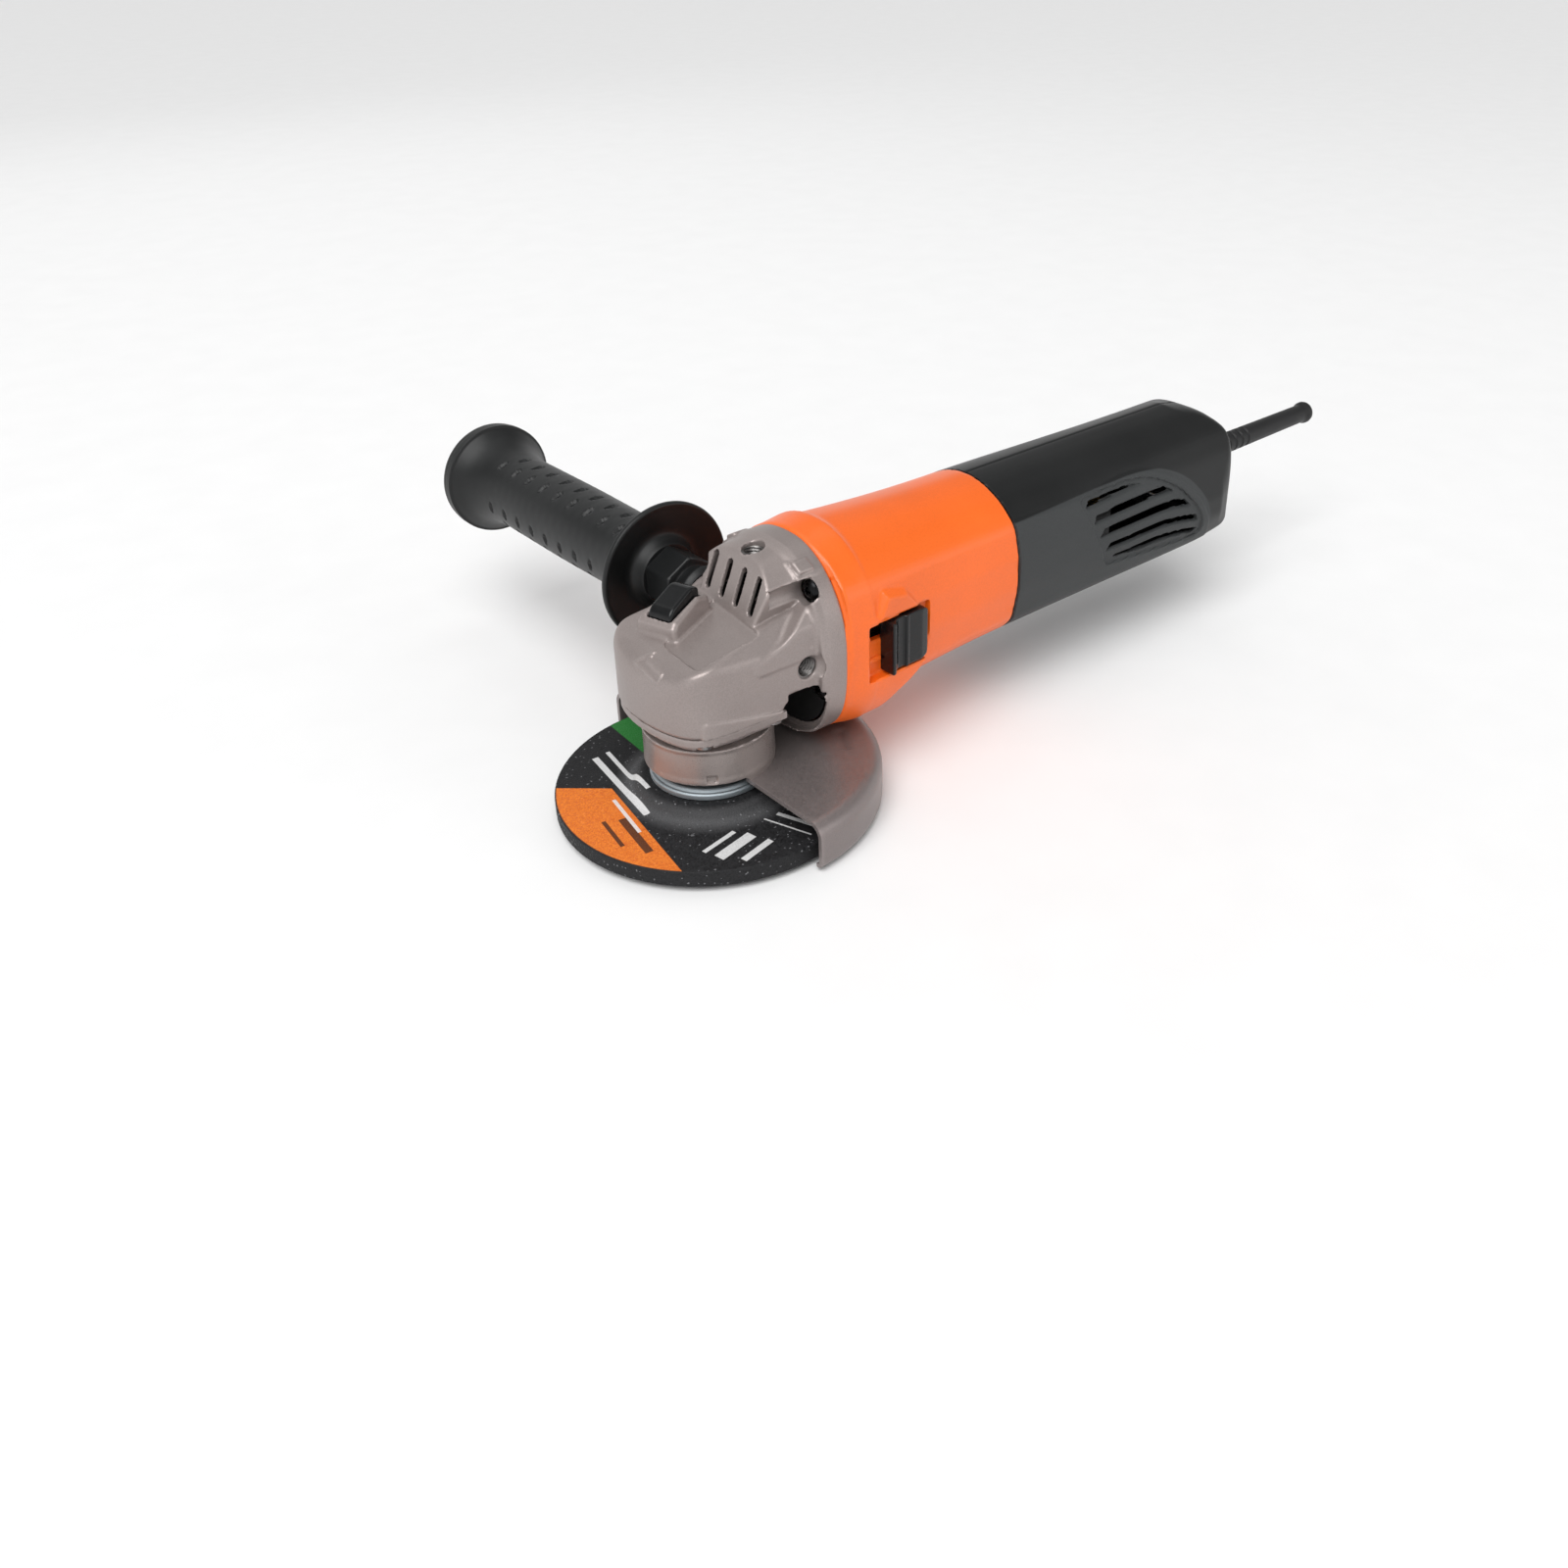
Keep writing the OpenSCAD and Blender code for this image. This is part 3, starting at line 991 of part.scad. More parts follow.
gear_case();
gear_case_screws();
bearing_plate();
bearing_plate_screws();
spindle();
spindle_seal();
spindle_bearing();
spindle_bearing_circlip();
spindle_bush();
bevel_gear();
gear_circlip();
gear_key();
inner_flange();
grinding_disc();
lock_nut();
guard();
guard_collar();
guard_clamp_screw();
guard_clamp_nut();
lock_button();
lock_pin();
lock_spring();
air_deflector();
armature_shaft();
pinion();
fan();
armature_core();
armature_windings();
commutator();
front_bearing();
rear_bearing();
bearing_sleeve();
fan_baffle();
stator_core();
stator_coils();
stator_screws();
brush_holders();
upper_brush();
lower_brush();
upper_brush_spring();
lower_brush_spring();
brush_caps();
motor_housing();
switch_slider();
switch_rod();
switch_block();
capacitor();
rear_housing_right();
rear_housing_left();
rear_housing_screws();
cord_clamp();
cord_clamp_screws();
cord_sleeve();
handle_grip();
handle_end_cap();
handle_collar();
handle_stud();
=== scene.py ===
import math
import bmesh
import bpy
import numpy as np
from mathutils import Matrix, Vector


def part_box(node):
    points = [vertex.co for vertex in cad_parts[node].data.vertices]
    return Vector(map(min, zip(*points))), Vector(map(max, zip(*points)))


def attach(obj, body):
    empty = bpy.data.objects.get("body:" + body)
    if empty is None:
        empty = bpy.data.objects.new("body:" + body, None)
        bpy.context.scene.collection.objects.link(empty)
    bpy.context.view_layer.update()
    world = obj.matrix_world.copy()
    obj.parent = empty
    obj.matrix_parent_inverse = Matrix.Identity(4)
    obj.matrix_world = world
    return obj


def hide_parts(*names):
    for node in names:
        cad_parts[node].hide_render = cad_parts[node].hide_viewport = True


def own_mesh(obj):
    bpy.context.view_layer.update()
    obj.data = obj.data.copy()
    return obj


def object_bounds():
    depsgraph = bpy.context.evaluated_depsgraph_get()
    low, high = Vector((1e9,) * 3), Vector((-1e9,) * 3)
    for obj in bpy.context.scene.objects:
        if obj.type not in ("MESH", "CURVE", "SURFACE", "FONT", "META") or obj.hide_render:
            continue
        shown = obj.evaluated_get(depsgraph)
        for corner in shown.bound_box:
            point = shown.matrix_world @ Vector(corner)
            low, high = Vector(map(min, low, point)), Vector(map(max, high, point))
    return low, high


# Angle grinder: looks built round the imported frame.
# Shapes are worked out in millimetres in the frame's own axes and put into metres as they become meshes.

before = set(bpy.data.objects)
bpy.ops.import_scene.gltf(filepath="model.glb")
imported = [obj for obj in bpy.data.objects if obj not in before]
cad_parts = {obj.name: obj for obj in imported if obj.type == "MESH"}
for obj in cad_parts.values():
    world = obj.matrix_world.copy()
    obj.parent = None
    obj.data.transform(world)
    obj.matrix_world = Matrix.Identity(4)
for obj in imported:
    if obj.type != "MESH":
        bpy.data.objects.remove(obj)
cadBox = [list(corner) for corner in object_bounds()]
mm = 0.001


def span(node):  # lowest and highest corner of a frame node, in millimetres
    low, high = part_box(node)
    return np.array(low) / mm, np.array(high) / mm


shaftLow, shaftHigh = span("armature_shaft")
motorZ = (shaftLow[2] + shaftHigh[2]) / 2
jointX = span("gear_case")[1][0]
bodyEndX = span("rear_housing_right")[0][0]
print("frame", len(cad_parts), "nodes, motor axis at", round(float(motorZ), 2))

# Shapes are signed distances in millimetres, negative inside.


def meet(a, b, r=0.0):  # inside both, with a round of radius r where their faces meet
    u, v = np.maximum(a + r, 0), np.maximum(b + r, 0)
    return np.minimum(np.maximum(a, b), -r) + np.sqrt(u * u + v * v)


def join(a, b, r=0.0):  # inside either, with a fillet of radius r between them
    u, v = np.maximum(r - a, 0), np.maximum(r - b, 0)
    return np.maximum(np.minimum(a, b), r) - np.sqrt(u * u + v * v)


def cut(a, b, r=0.0):  # inside a and outside b, with a round of radius r at the mouth
    return meet(a, -b, r)


def smooth(t):  # eases from 0 to 1
    t = np.clip(t, 0, 1)
    return t * t * (3 - 2 * t)


def outline(a, b, points):  # distance to a closed outline: to its nearest edge, with the sign from edge crossings
    best, sign = 1e12, 1.0
    for p, q in zip(points, np.roll(points, -1, axis=0)):
        ea, eb = q[0] - p[0], q[1] - p[1]
        wa, wb = a - p[0], b - p[1]
        t = np.clip((wa * ea + wb * eb) / (ea * ea + eb * eb + 1e-12), 0, 1)
        best = np.minimum(best, (wa - ea * t) ** 2 + (wb - eb * t) ** 2)
        above, below, left = b >= p[1], b < q[1], ea * wb > eb * wa
        turn = (above & below & left) | (~above & ~below & ~left)
        sign = np.where(turn, -sign, sign)
    return sign * np.sqrt(best)


class Template:  # an outline's distances worked out once on a fine grid, then read off between its points
    def __init__(self, points, step=0.2, margin=8):
        points = np.asarray(points, float)
        self.low, self.step = points.min(0) - margin, step
        counts = np.ceil((points.max(0) + margin - self.low) / step).astype(int) + 1
        a, b = [self.low[k] + step * np.arange(counts[k]) for k in (0, 1)]
        self.table = outline(a[:, None], b[None, :], points).astype(np.float32)

    def __call__(self, a, b):
        rows, columns = self.table.shape
        u, v = (a - self.low[0]) / self.step, (b - self.low[1]) / self.step
        cu, cv = np.clip(u, 0, rows - 1.001), np.clip(v, 0, columns - 1.001)
        i, j = cu.astype(int), cv.astype(int)
        s, t = cu - i, cv - j
        near = self.table[i, j] * (1 - s) * (1 - t) + self.table[i + 1, j] * s * (1 - t)
        near = near + self.table[i, j + 1] * (1 - s) * t + self.table[i + 1, j + 1] * s * t
        return near + (np.abs(u - cu) + np.abs(v - cv)) * self.step


def block(x, y, z, low, high, r=0.0):  # box from one corner to the other, with rounded edges
    out, inn = 0.0, -1e9
    for c, lo, hi in zip((x, y, z), low, high):
        d = np.abs(c - (lo + hi) / 2) - (hi - lo) / 2 + r
        out = out + np.maximum(d, 0) ** 2
        inn = np.maximum(inn, d)
    return np.sqrt(out) + np.minimum(inn, 0) - r


def rod(a, b, c, centre, r, low, high, edge=0.0):  # cylinder along the third axis
    return meet(np.hypot(a - centre[0], b - centre[1]) - r, np.maximum(low - c, c - high), edge)


# closed outline whose corners become curves that start cutBack before them
def softCorners(points, cutBack, steps=5):
    points = np.array(points, float)
    cuts = np.broadcast_to(np.array(cutBack, float), (len(points),))
    before, after = np.roll(points, 1, axis=0), np.roll(points, -1, axis=0)
    t = np.linspace(0, 1, steps)[None, :, None]
    toBefore, toAfter = before - points, after - points
    lengthA = np.linalg.norm(toBefore, axis=1, keepdims=True)
    lengthB = np.linalg.norm(toAfter, axis=1, keepdims=True)
    a = points + toBefore / lengthA * np.minimum(cuts[:, None], 0.48 * lengthA)
    b = points + toAfter / lengthB * np.minimum(cuts[:, None], 0.48 * lengthB)
    curve = (1 - t) ** 2 * a[:, None] + 2 * t * (1 - t) * points[:, None] + t**2 * b[:, None]
    return curve.reshape(-1, 2)


def mirrored(half):  # outline from one side's points, top to bottom, and their mirror image
    return [(y, z) for y, z in half] + [(-y, z) for y, z in half[::-1] if abs(y) > 1e-6]


def putMesh(name, points, quads):  # a mesh from arrays, in metres
    mesh = bpy.data.meshes.new(name)
    mesh.vertices.add(len(points))
    mesh.vertices.foreach_set("co", (np.asarray(points) * mm).astype(np.float32).ravel())
    mesh.loops.add(quads.size)
    mesh.loops.foreach_set("vertex_index", quads.astype(np.int32).ravel())
    mesh.polygons.add(len(quads))
    mesh.polygons.foreach_set("loop_start", np.arange(0, quads.size, 4, dtype=np.int32))
    mesh.polygons.foreach_set("loop_total", np.full(len(quads), 4, np.int32))
    mesh.update(calc_edges=True)
    mesh.validate()
    return mesh


def weld(mesh, gap=1e-6, outward=False):  # joins doubled points and, if asked, turns all faces outwards
    work = bmesh.new()
    work.from_mesh(mesh)
    bmesh.ops.remove_doubles(work, verts=work.verts, dist=gap)
    if outward:
        bmesh.ops.recalc_face_normals(work, faces=work.faces)
    work.to_mesh(mesh)
    work.free()


def addPiece(name, mesh, body, material, replaced=(), sharp=None):  # one visible piece, riding on a body
    mesh.polygons.foreach_set("use_smooth", np.ones(len(mesh.polygons), bool))
    if sharp is not None:
        mesh.set_sharp_from_angle(angle=math.radians(sharp))
    piece = bpy.data.objects.new(name, mesh)
    bpy.context.scene.collection.objects.link(piece)
    mesh.materials.append(material)
    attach(piece, body)
    if replaced:
        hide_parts(*replaced)
    print("  piece", name, len(mesh.polygons), "faces")
    return piece


def gridQuads(rows, columns, closedRows=False, closedColumns=False):  # faces of a grid of points, row by row
    index = np.arange(rows * columns).reshape(rows, columns)
    if closedRows:
        index = np.vstack([index, index[:1]])
    if closedColumns:
        index = np.hstack([index, index[:, :1]])
    return np.stack([index[:-1, :-1], index[1:, :-1], index[1:, 1:], index[:-1, 1:]], -1).reshape(-1, 4)


def levelSurface(field, low, high, step, rounds=2):
    # One point in each cell that the surface crosses, one face round each crossed grid edge,
    # then every point moves to its neighbours' mean and back onto the surface along the field's slope.
    axes = [np.arange(lo - 1.5 * step, hi + 2.5 * step, step) for lo, hi in zip(low, high)]
    x, y, z = np.meshgrid(*axes, indexing="ij", sparse=True)
    f = np.broadcast_to(field(x, y, z), [len(a) for a in axes]).astype(np.float32)
    inside = f < 0
    corners = [(i, j, k) for i in (0, 1) for j in (0, 1) for k in (0, 1)]
    n = [s - 1 for s in f.shape]
    count = sum(inside[i : i + n[0], j : j + n[1], k : k + n[2]].astype(np.int8) for i, j, k in corners)
    crossed = (count > 0) & (count < 8)
    cells = np.argwhere(crossed)
    index = np.full(crossed.shape, -1, np.int64)
    index[crossed] = np.arange(len(cells))
    total, hits = np.zeros((len(cells), 3)), np.zeros((len(cells), 1))
    for a in corners:
        for axis in range(3):
            if a[axis]:
                continue
            b = list(a)
            b[axis] = 1
            fa = f[tuple((cells + a).T)]
            fb = f[tuple((cells + b).T)]
            on = (fa < 0) != (fb < 0)
            t = np.where(on, fa / np.where(on, fa - fb, 1), 0)
            spot = cells + np.array(a, float)
            spot[:, axis] += t
            total += np.where(on[:, None], spot, 0)
            hits += on[:, None]
    points = np.array([a[0] for a in axes]) + total / hits * step
    quads = []
    for axis in range(3):
        u, v = (axis + 1) % 3, (axis + 2) % 3
        first = np.take(inside, range(f.shape[axis] - 1), axis)
        last = np.take(inside, range(1, f.shape[axis]), axis)
        spots = np.argwhere(first != last)
        spots = spots[(spots[:, u] > 0) & (spots[:, v] > 0) & (spots[:, u] < n[u]) & (spots[:, v] < n[v])]
        outward = first[tuple(spots.T)]
        ring = []
        for du, dv in ((1, 1), (0, 1), (0, 0), (1, 0)):
            cell = spots.copy()
            cell[:, u] -= du
            cell[:, v] -= dv
            ring.append(index[tuple(cell.T)])
        ring = np.stack(ring, 1)
        quads.append(np.where(outward[:, None], ring, ring[:, ::-1]))
    quads = np.concatenate(quads)

    def ontoSurface(p):
        h = 0.03
        value = field(*p.T)
        slope = np.stack([(field(*(p + e).T) - field(*(p - e).T)) / (2 * h) for e in np.eye(3) * h], 1)
        size = np.maximum((slope**2).sum(1), 0.05)
        return p - np.clip(value / size, -step, step)[:, None] * slope

    pairs = np.concatenate([quads[:, [k, (k + 1) % 4]] for k in range(4)])
    for _ in range(rounds):
        mean, near = np.zeros_like(points), np.zeros((len(points), 1))
        for a, b in ((0, 1), (1, 0)):
            for k in range(3):
                mean[:, k] += np.bincount(pairs[:, a], points[pairs[:, b], k], len(points))
            near[:, 0] += np.bincount(pairs[:, a], minlength=len(points))
        points = ontoSurface(0.5 * points + 0.5 * mean / near)
    return ontoSurface(points), quads


def lathe(name, profile, axis, centre, count=128, wobble=None):
    # A closed profile of (radius, height) points carried round an axis: radius times cosine and sine, height
    # along it.
    profile = np.asarray(profile, float)
    turn = np.linspace(0, 2 * math.pi, count, endpoint=False)
    radius, height = profile[:, :1], profile[:, 1:]
    if wobble is not None:
        radius, height = wobble(radius, height, turn[None, :])
    u, v = radius * np.cos(turn), radius * np.sin(turn)
    height = np.broadcast_to(height, u.shape)
    order = {"x": (height, u, v), "y": (v, height, u), "z": (u, v, height)}[axis]
    points = np.stack(order, -1) + np.array(centre, float)
    mesh = putMesh(name, points.reshape(-1, 3), gridQuads(len(profile), count, True, True))
    weld(mesh, outward=True)
    return mesh


def finely(profile, longest):  # splits a closed outline's long edges
    out = []
    for p, q in zip(profile, np.roll(profile, -1, axis=0)):
        parts = max(1, int(math.ceil(np.linalg.norm(q - p) / longest)))
        out += [p + (q - p) * k / parts for k in range(parts)]
    return np.array(out)


case = {
    "step": 0.6,
    "plan": [(34, 29.5), (6, 28.6), (-12, 27.4), (-19.4, 25.4), (-23.9, 21.2), (-26.5, 14.8), (-28, 7.4)],
    "nose": (-28.5, 0),
    "side": [(-29.5, 42), (-29.5, 54.5), (-28, 58.5), (-25.5, 63.5), (-20, 68), (9, 73.5), (33, 77), (33, 42)],
    "section": [(20, 76), (22, 73.2), (29, 65.8), (29.5, 62), (29.5, 0)],
    "ledgeSide": [(2, 60), (2, 65.2), (14, 69), (27, 77), (33, 78.5), (33, 60)],
    "ledgeSection": [(18, 79), (24.5, 78), (29.3, 71.5), (29.9, 66), (29.9, 0)],
    "tower": [(10.5, 70), (10.5, 73.5), (18.6, 91.3), (21, 92.8), (33, 94.5), (40, 95), (40, 70)],
    "label": [(-16.5, 0.5), (13, 8.5), (7.8, -23), (-18.5, -22.5)],
    "pad": [(-19.9, 38), (-19.9, 46.9), (-18.9, 48.9), (-13.8, 48.4), (2, 45.2), (14.7, 43), (14.7, 38)],
    "arch": [(12.2, 10), (12.2, 42.6), (14, 45.4), (21.6, 47.4), (26.3, 46.4), (29.4, 42.1), (29.6, 28.2),
             (29.6, 10)],
    "arrow": [(4.6, 63.4), (-0.5, 67.4), (-0.5, 65.3), (-10.5, 64.2), (-10.5, 61.4), (4.6, 63.4)],
    "slots": 4,
}
lockLow, lockHigh = span("lock_pin")
studLow, studHigh = span("handle_stud")
lockSpot = (lockLow + lockHigh) / 2
socketX, handleZ = (studLow[0] + studHigh[0]) / 2, (studLow[2] + studHigh[2]) / 2
plan = Template(softCorners(case["plan"] + [case["nose"]] + [(a, -b) for a, b in case["plan"][::-1]], 6))
caseSection = Template(softCorners(mirrored(case["section"]), 1.5))
ledgeSection = Template(softCorners(mirrored(case["ledgeSection"]), 1.5))
caseSide = Template(softCorners(case["side"], [2, 4, 3, 3, 6, 8, 1, 1]))
archOutline = Template(softCorners(case["arch"], 2))
labelOutline = Template(softCorners(case["label"], 2.4))
towerOutline = Template(softCorners(case["tower"], [0.1, 0.1, 3, 2, 1, 1, 1]))
arrowOutline = Template(case["arrow"][:-1])
padOutline = Template(softCorners(case["pad"], 0.8))
ledgeSide = Template(softCorners(case["ledgeSide"], 2))
pedestalSide = Template([(-10.7, 60), (-10.7, 73), (-8.6, 75), (5, 79), (10.7, 77.6), (10.7, 60)])
buttonTurn = math.radians(16)


def superOval(a, b, wide, up, down, powerUp, powerDown):  # rounded box whose corners fill as its powers grow
    power = np.where(b >= 0, powerUp, powerDown)
    u, v = np.abs(a) / wide + 1e-9, np.abs(b) / np.where(b >= 0, up, down) + 1e-9
    k = (u**power + v**power) ** (1 / power)
    slope = np.hypot((u / k) ** (power - 1) / wide, (v / k) ** (power - 1) / np.where(b >= 0, up, down))
    return (k - 1) / slope


def jointOval(y, z):  # outline of the flange that meets the motor housing
    return superOval(y, z - 57.5, 33.5, 38, 38, 2.1, 3)


def atButton(x, y):  # along and across the lock button
    a, b = x - lockSpot[0], y - lockSpot[1]
    return a * math.cos(buttonTurn) + b * math.sin(buttonTurn), b * math.cos(buttonTurn) - a * math.sin(buttonTurn)


def gearCaseField(x, y, z):
    # Plan, side and front outlines meet in the head; the ramp's tower and the flange are joined on with fillets;
    # then the label's recess, pockets, slots, arches and bores are cut away.
    flat = plan(x, y)
    front = caseSection(y, z)
    head = meet(meet(flat, caseSide(x, z), 1.8), front, 1.2)
    arrow = np.abs(arrowOutline(y, z)) - 0.5
    head = join(head, meet(meet(arrow, head - 0.5), x + 20), 0.25)
    pad = meet(meet(flat - 0.65, front - 0.65, 0.5), meet(padOutline(x, z), 42.2 - z, 0.5), 0.6)
    head = join(head, meet(pad, 16 - np.abs(y)), 0.3)
    slope = 68 + (x + 20) * 5.5 / 29
    head = cut(head, meet(labelOutline(x, y), slope - 0.9 - z), 0.1)
    ledge = meet(meet(flat - 0.4, ledgeSide(x, z), 1.2), ledgeSection(y, z), 1)
    ledge = meet(ledge, 19 - np.abs(y))
    head = join(head, ledge, 1.2)
    lean = x - 0.1 * y
    joint = jointOval(y, z)
    along = towerOutline(lean, z)
    tower = meet(along, np.abs(y) - 18.3 - 0.22 * (z - 73.5), 0.9)
    tower = meet(tower, joint + 0.5 + 0.12 * np.maximum(31 - x, 0), 1)
    head = join(head, tower, 0.8)
    u, v = atButton(x, y)
    pedestal = meet(pedestalSide(u, z), np.abs(v) - 7.4 - 0.22 * (77 - z), 1.4)
    head = join(head, pedestal, 1)
    flange = meet(joint + np.maximum(0, (31 - x) * 0.4), np.maximum(28 - x, x - 39), 1)
    head = join(head, flange, 2)
    for side in (1, -1):  # raised tabs beside the top socket
        a, b = math.cos(math.radians(30)), math.sin(math.radians(30))
        across = (y * side - 17.5) * a - (z - 88) * b
        rise = (y * side - 17.5) * b + (z - 88) * a
        tab = block(x - 31, across, rise, (-5, -4.6, -4), (5, 4.6, 1.6), 1)
        top = block(x - 31, across, rise, (-3.4, -2.8, -4), (3.4, 2.8, 3.1), 0.8)
        head = join(head, join(tab, top, 0.5), 0.6)
    middle = np.hypot(y, z - motorZ)
    hole = rod(y, z, x, (0, motorZ), 15.5, 26, 60)
    chamber = meet(meet(joint + 3.5, 31 - x), 22.5 - z)
    chamber = np.minimum(chamber, meet(meet(joint + 1.1, np.abs(x - 29.9) - 2.4), z - 45.5))
    inner = meet(meet(tower + 2.2, np.abs(y) - 16), 76 - z)  # room behind the slots
    inner = meet(inner, 5.8 - np.hypot(x - socketX, y))
    chamber = np.minimum(chamber, inner)
    head = cut(head, cut(chamber, hole), 0)
    for k in range(case["slots"]):  # slots run up the ramp, their middle lines leaning a little
        s = (lean - 10.5) * 0.414 + (z - 73.5) * 0.91
        n = -(lean - 10.5) * 0.91 + (z - 73.5) * 0.414
        centre = 0.3 + 9.5 * (k - (case["slots"] - 1) / 2) + 0.03 * (s - 9.8)
        gap = np.hypot(np.maximum(np.abs(s - 9.6) - 5.6, 0), y - centre) - 1.6
        head = cut(head, meet(gap, np.abs(n + 4) - 9), 0.35)
    head = cut(head, meet(archOutline(x, z), 16 - np.abs(y)), 0.6)
    for py, pz in ((22.5, 82), (26.5, 44)):  # pockets over the screws into the motor housing
        head = cut(head, rod(np.abs(y), z, x, (py, pz), 4.6, 15, 32), 0.4)
    head = cut(head, meet(np.abs(u) - 8.75, meet(np.abs(v) - 5.45, 68.5 - z), 1), 0.5)
    head = cut(head, rod(x, y, z, (0, 0), 23.5, 35, 59), 0)
    head = cut(head, rod(x, y, z, (0, 0), 18.5, 50, 62.5), 0)
    head = cut(head, np.maximum(middle - 9, 9 - x), 0)
    head = cut(head, rod(y, z, x, (0, motorZ), 13, 29, 60), 0)
    head = cut(head, np.maximum(np.hypot(x - lockSpot[0], y - lockSpot[1]) - 3.6, 63 - z), 0)
    right = np.hypot(x - socketX, z - 56)
    head = cut(head, np.maximum(np.minimum(right - 4.25, right + np.abs(y + 31) - 6.6), y + 16.6), 0)
    left = np.hypot(x - socketX, z - handleZ)
    head = cut(head, np.maximum(left - 4.3, 16.6 - y), 0)
    head = cut(head, np.maximum(left - 12, 30 - y), 0.3)
    top = np.hypot(x - socketX, y)
    return cut(head, np.maximum(top - 4.25, 80.5 - z), 0.4)


plateSize = {"step": 0.6, "neck": 21, "front": 14.8}


def bearingPlateField(x, y, z):
    # The head's plan drawn in twice makes the stepped plate; the round neck hangs under it.
    flat = plan(x, y)
    upper = meet(flat + 0.6, np.maximum(38.8 - z, z - 42), 0.5)
    lower = meet(flat + 2.6, np.maximum(36.5 - z, z - 40), 0.8)
    rib = meet(np.abs(flat + 4.6) - 0.7, np.maximum(35.9 - z, z - 38), 0.3)
    body = meet(join(join(upper, lower, 0.3), rib, 0.3), x - plateSize["front"], 0.5)
    body = join(body, rod(x, y, z, (0, 0), plateSize["neck"], 17, 40, 0.5), 1.2)
    body = join(body, rod(x, y, z, (0, 0), 23.3, 41, 44), 0)
    body = cut(body, np.hypot(x, y) - 12.2)
    body = cut(body, rod(x, y, z, (0, 0), 16.05, 22, 50))
    body = cut(body, rod(x, y, z, (0, 0), 16.9, 31.9, 33.3))
    body = cut(body, rod(x, y, z, (0, 0), 21.9, 43, 50))
    for px, py in ((-16, 20), (12, 23.2)):
        spot = np.hypot(x - px, np.abs(y) - py)
        body = cut(body, np.maximum(spot - 3.9, z - 39), 0.3)
        body = cut(body, spot - 1.9)
    return body


collarSize = {"step": 0.5, "inside": 21.06, "middle": 22.5, "foot": 15.4, "raised": 3.1, "top": 33}


def guardCollarField(x, y, z):
    # A band with a turned-out lip, its foot a little higher on the open side, split between two clamp lugs that
    # stand out along +Y.
    r = np.hypot(x, y)
    lift = 0.3 * smooth(1 - np.abs(z - 19.4) / 2.4) + 0.5 * smooth((z - 31) / 1.2)
    foot = collarSize["foot"] + collarSize["raised"] * smooth((2 - x) / 4)
    band = np.abs(r - collarSize["middle"]) - 1.44 - 0.5 * lift
    band = meet(band, np.maximum(foot - z, z - collarSize["top"]), 0.4)
    lugs = block(np.abs(x) - 3, y, z, (-2, 22.8, 20), (2, 33.6, 30), 0.8)
    body = join(band, lugs, 0.8)
    body = cut(body, np.maximum(r - collarSize["inside"], 14 - z))
    body = cut(body, np.maximum(np.abs(x) - 1, 20 - y), 0.2)
    body = cut(body, rod(y, z, x, (29.15, 25), 2.1, -20, 20), 0.3)
    a = math.radians(-124)
    u, v = x * math.cos(a) + y * math.sin(a), y * math.cos(a) - x * math.sin(a)
    return cut(body, block(u, v, z, (23.4, -1.9, 19.6), (27, 1.9, 22.4), 0.2), 0.2)


housing = {
    "step": 0.86,
    "body": [(9.6, 91.7), (19.9, 86.6), (28.3, 78.5), (31.1, 66), (31.4, 53.2), (28.5, 38.1), (22, 31), (10, 29)],
    "rear": [(10.2, 90.4), (20.9, 83.2), (28, 72.6), (32.6, 56), (32.8, 46.8), (29, 36.5), (22, 31), (10, 29.3)],
    "top": 93.3,
    "bottom": 28.9,
    "skirt": [(38, 10), (56, 10), (59.6, 23), (64.9, 31.1), (71.5, 36.3), (79, 44), (74, 62), (56, 68), (38, 68)],
    "boss": [(49.4, 64), (50.6, 68.6), (56.3, 77.4), (68.4, 74.3), (75.5, 66.4), (80.5, 64)],
}


def ringOutline(half):  # whole outline from its right half, with the top and bottom points on the middle line
    points = [(0, housing["top"])] + half + [(0, housing["bottom"])] + [(-a, b) for a, b in half[::-1]]
    return Template(softCorners(points, [4, 4, 3.5, 1.4, 3, 3, 4, 4, 4, 4, 4, 4, 3, 3, 1.4, 3.5, 4, 4]))


bodyOutline = ringOutline(housing["body"])
rearOutline = ringOutline(housing["rear"])
skirtOutline = Template(softCorners(housing["skirt"], 1.5))
bossOutline = Template(softCorners(housing["boss"], 1.0))


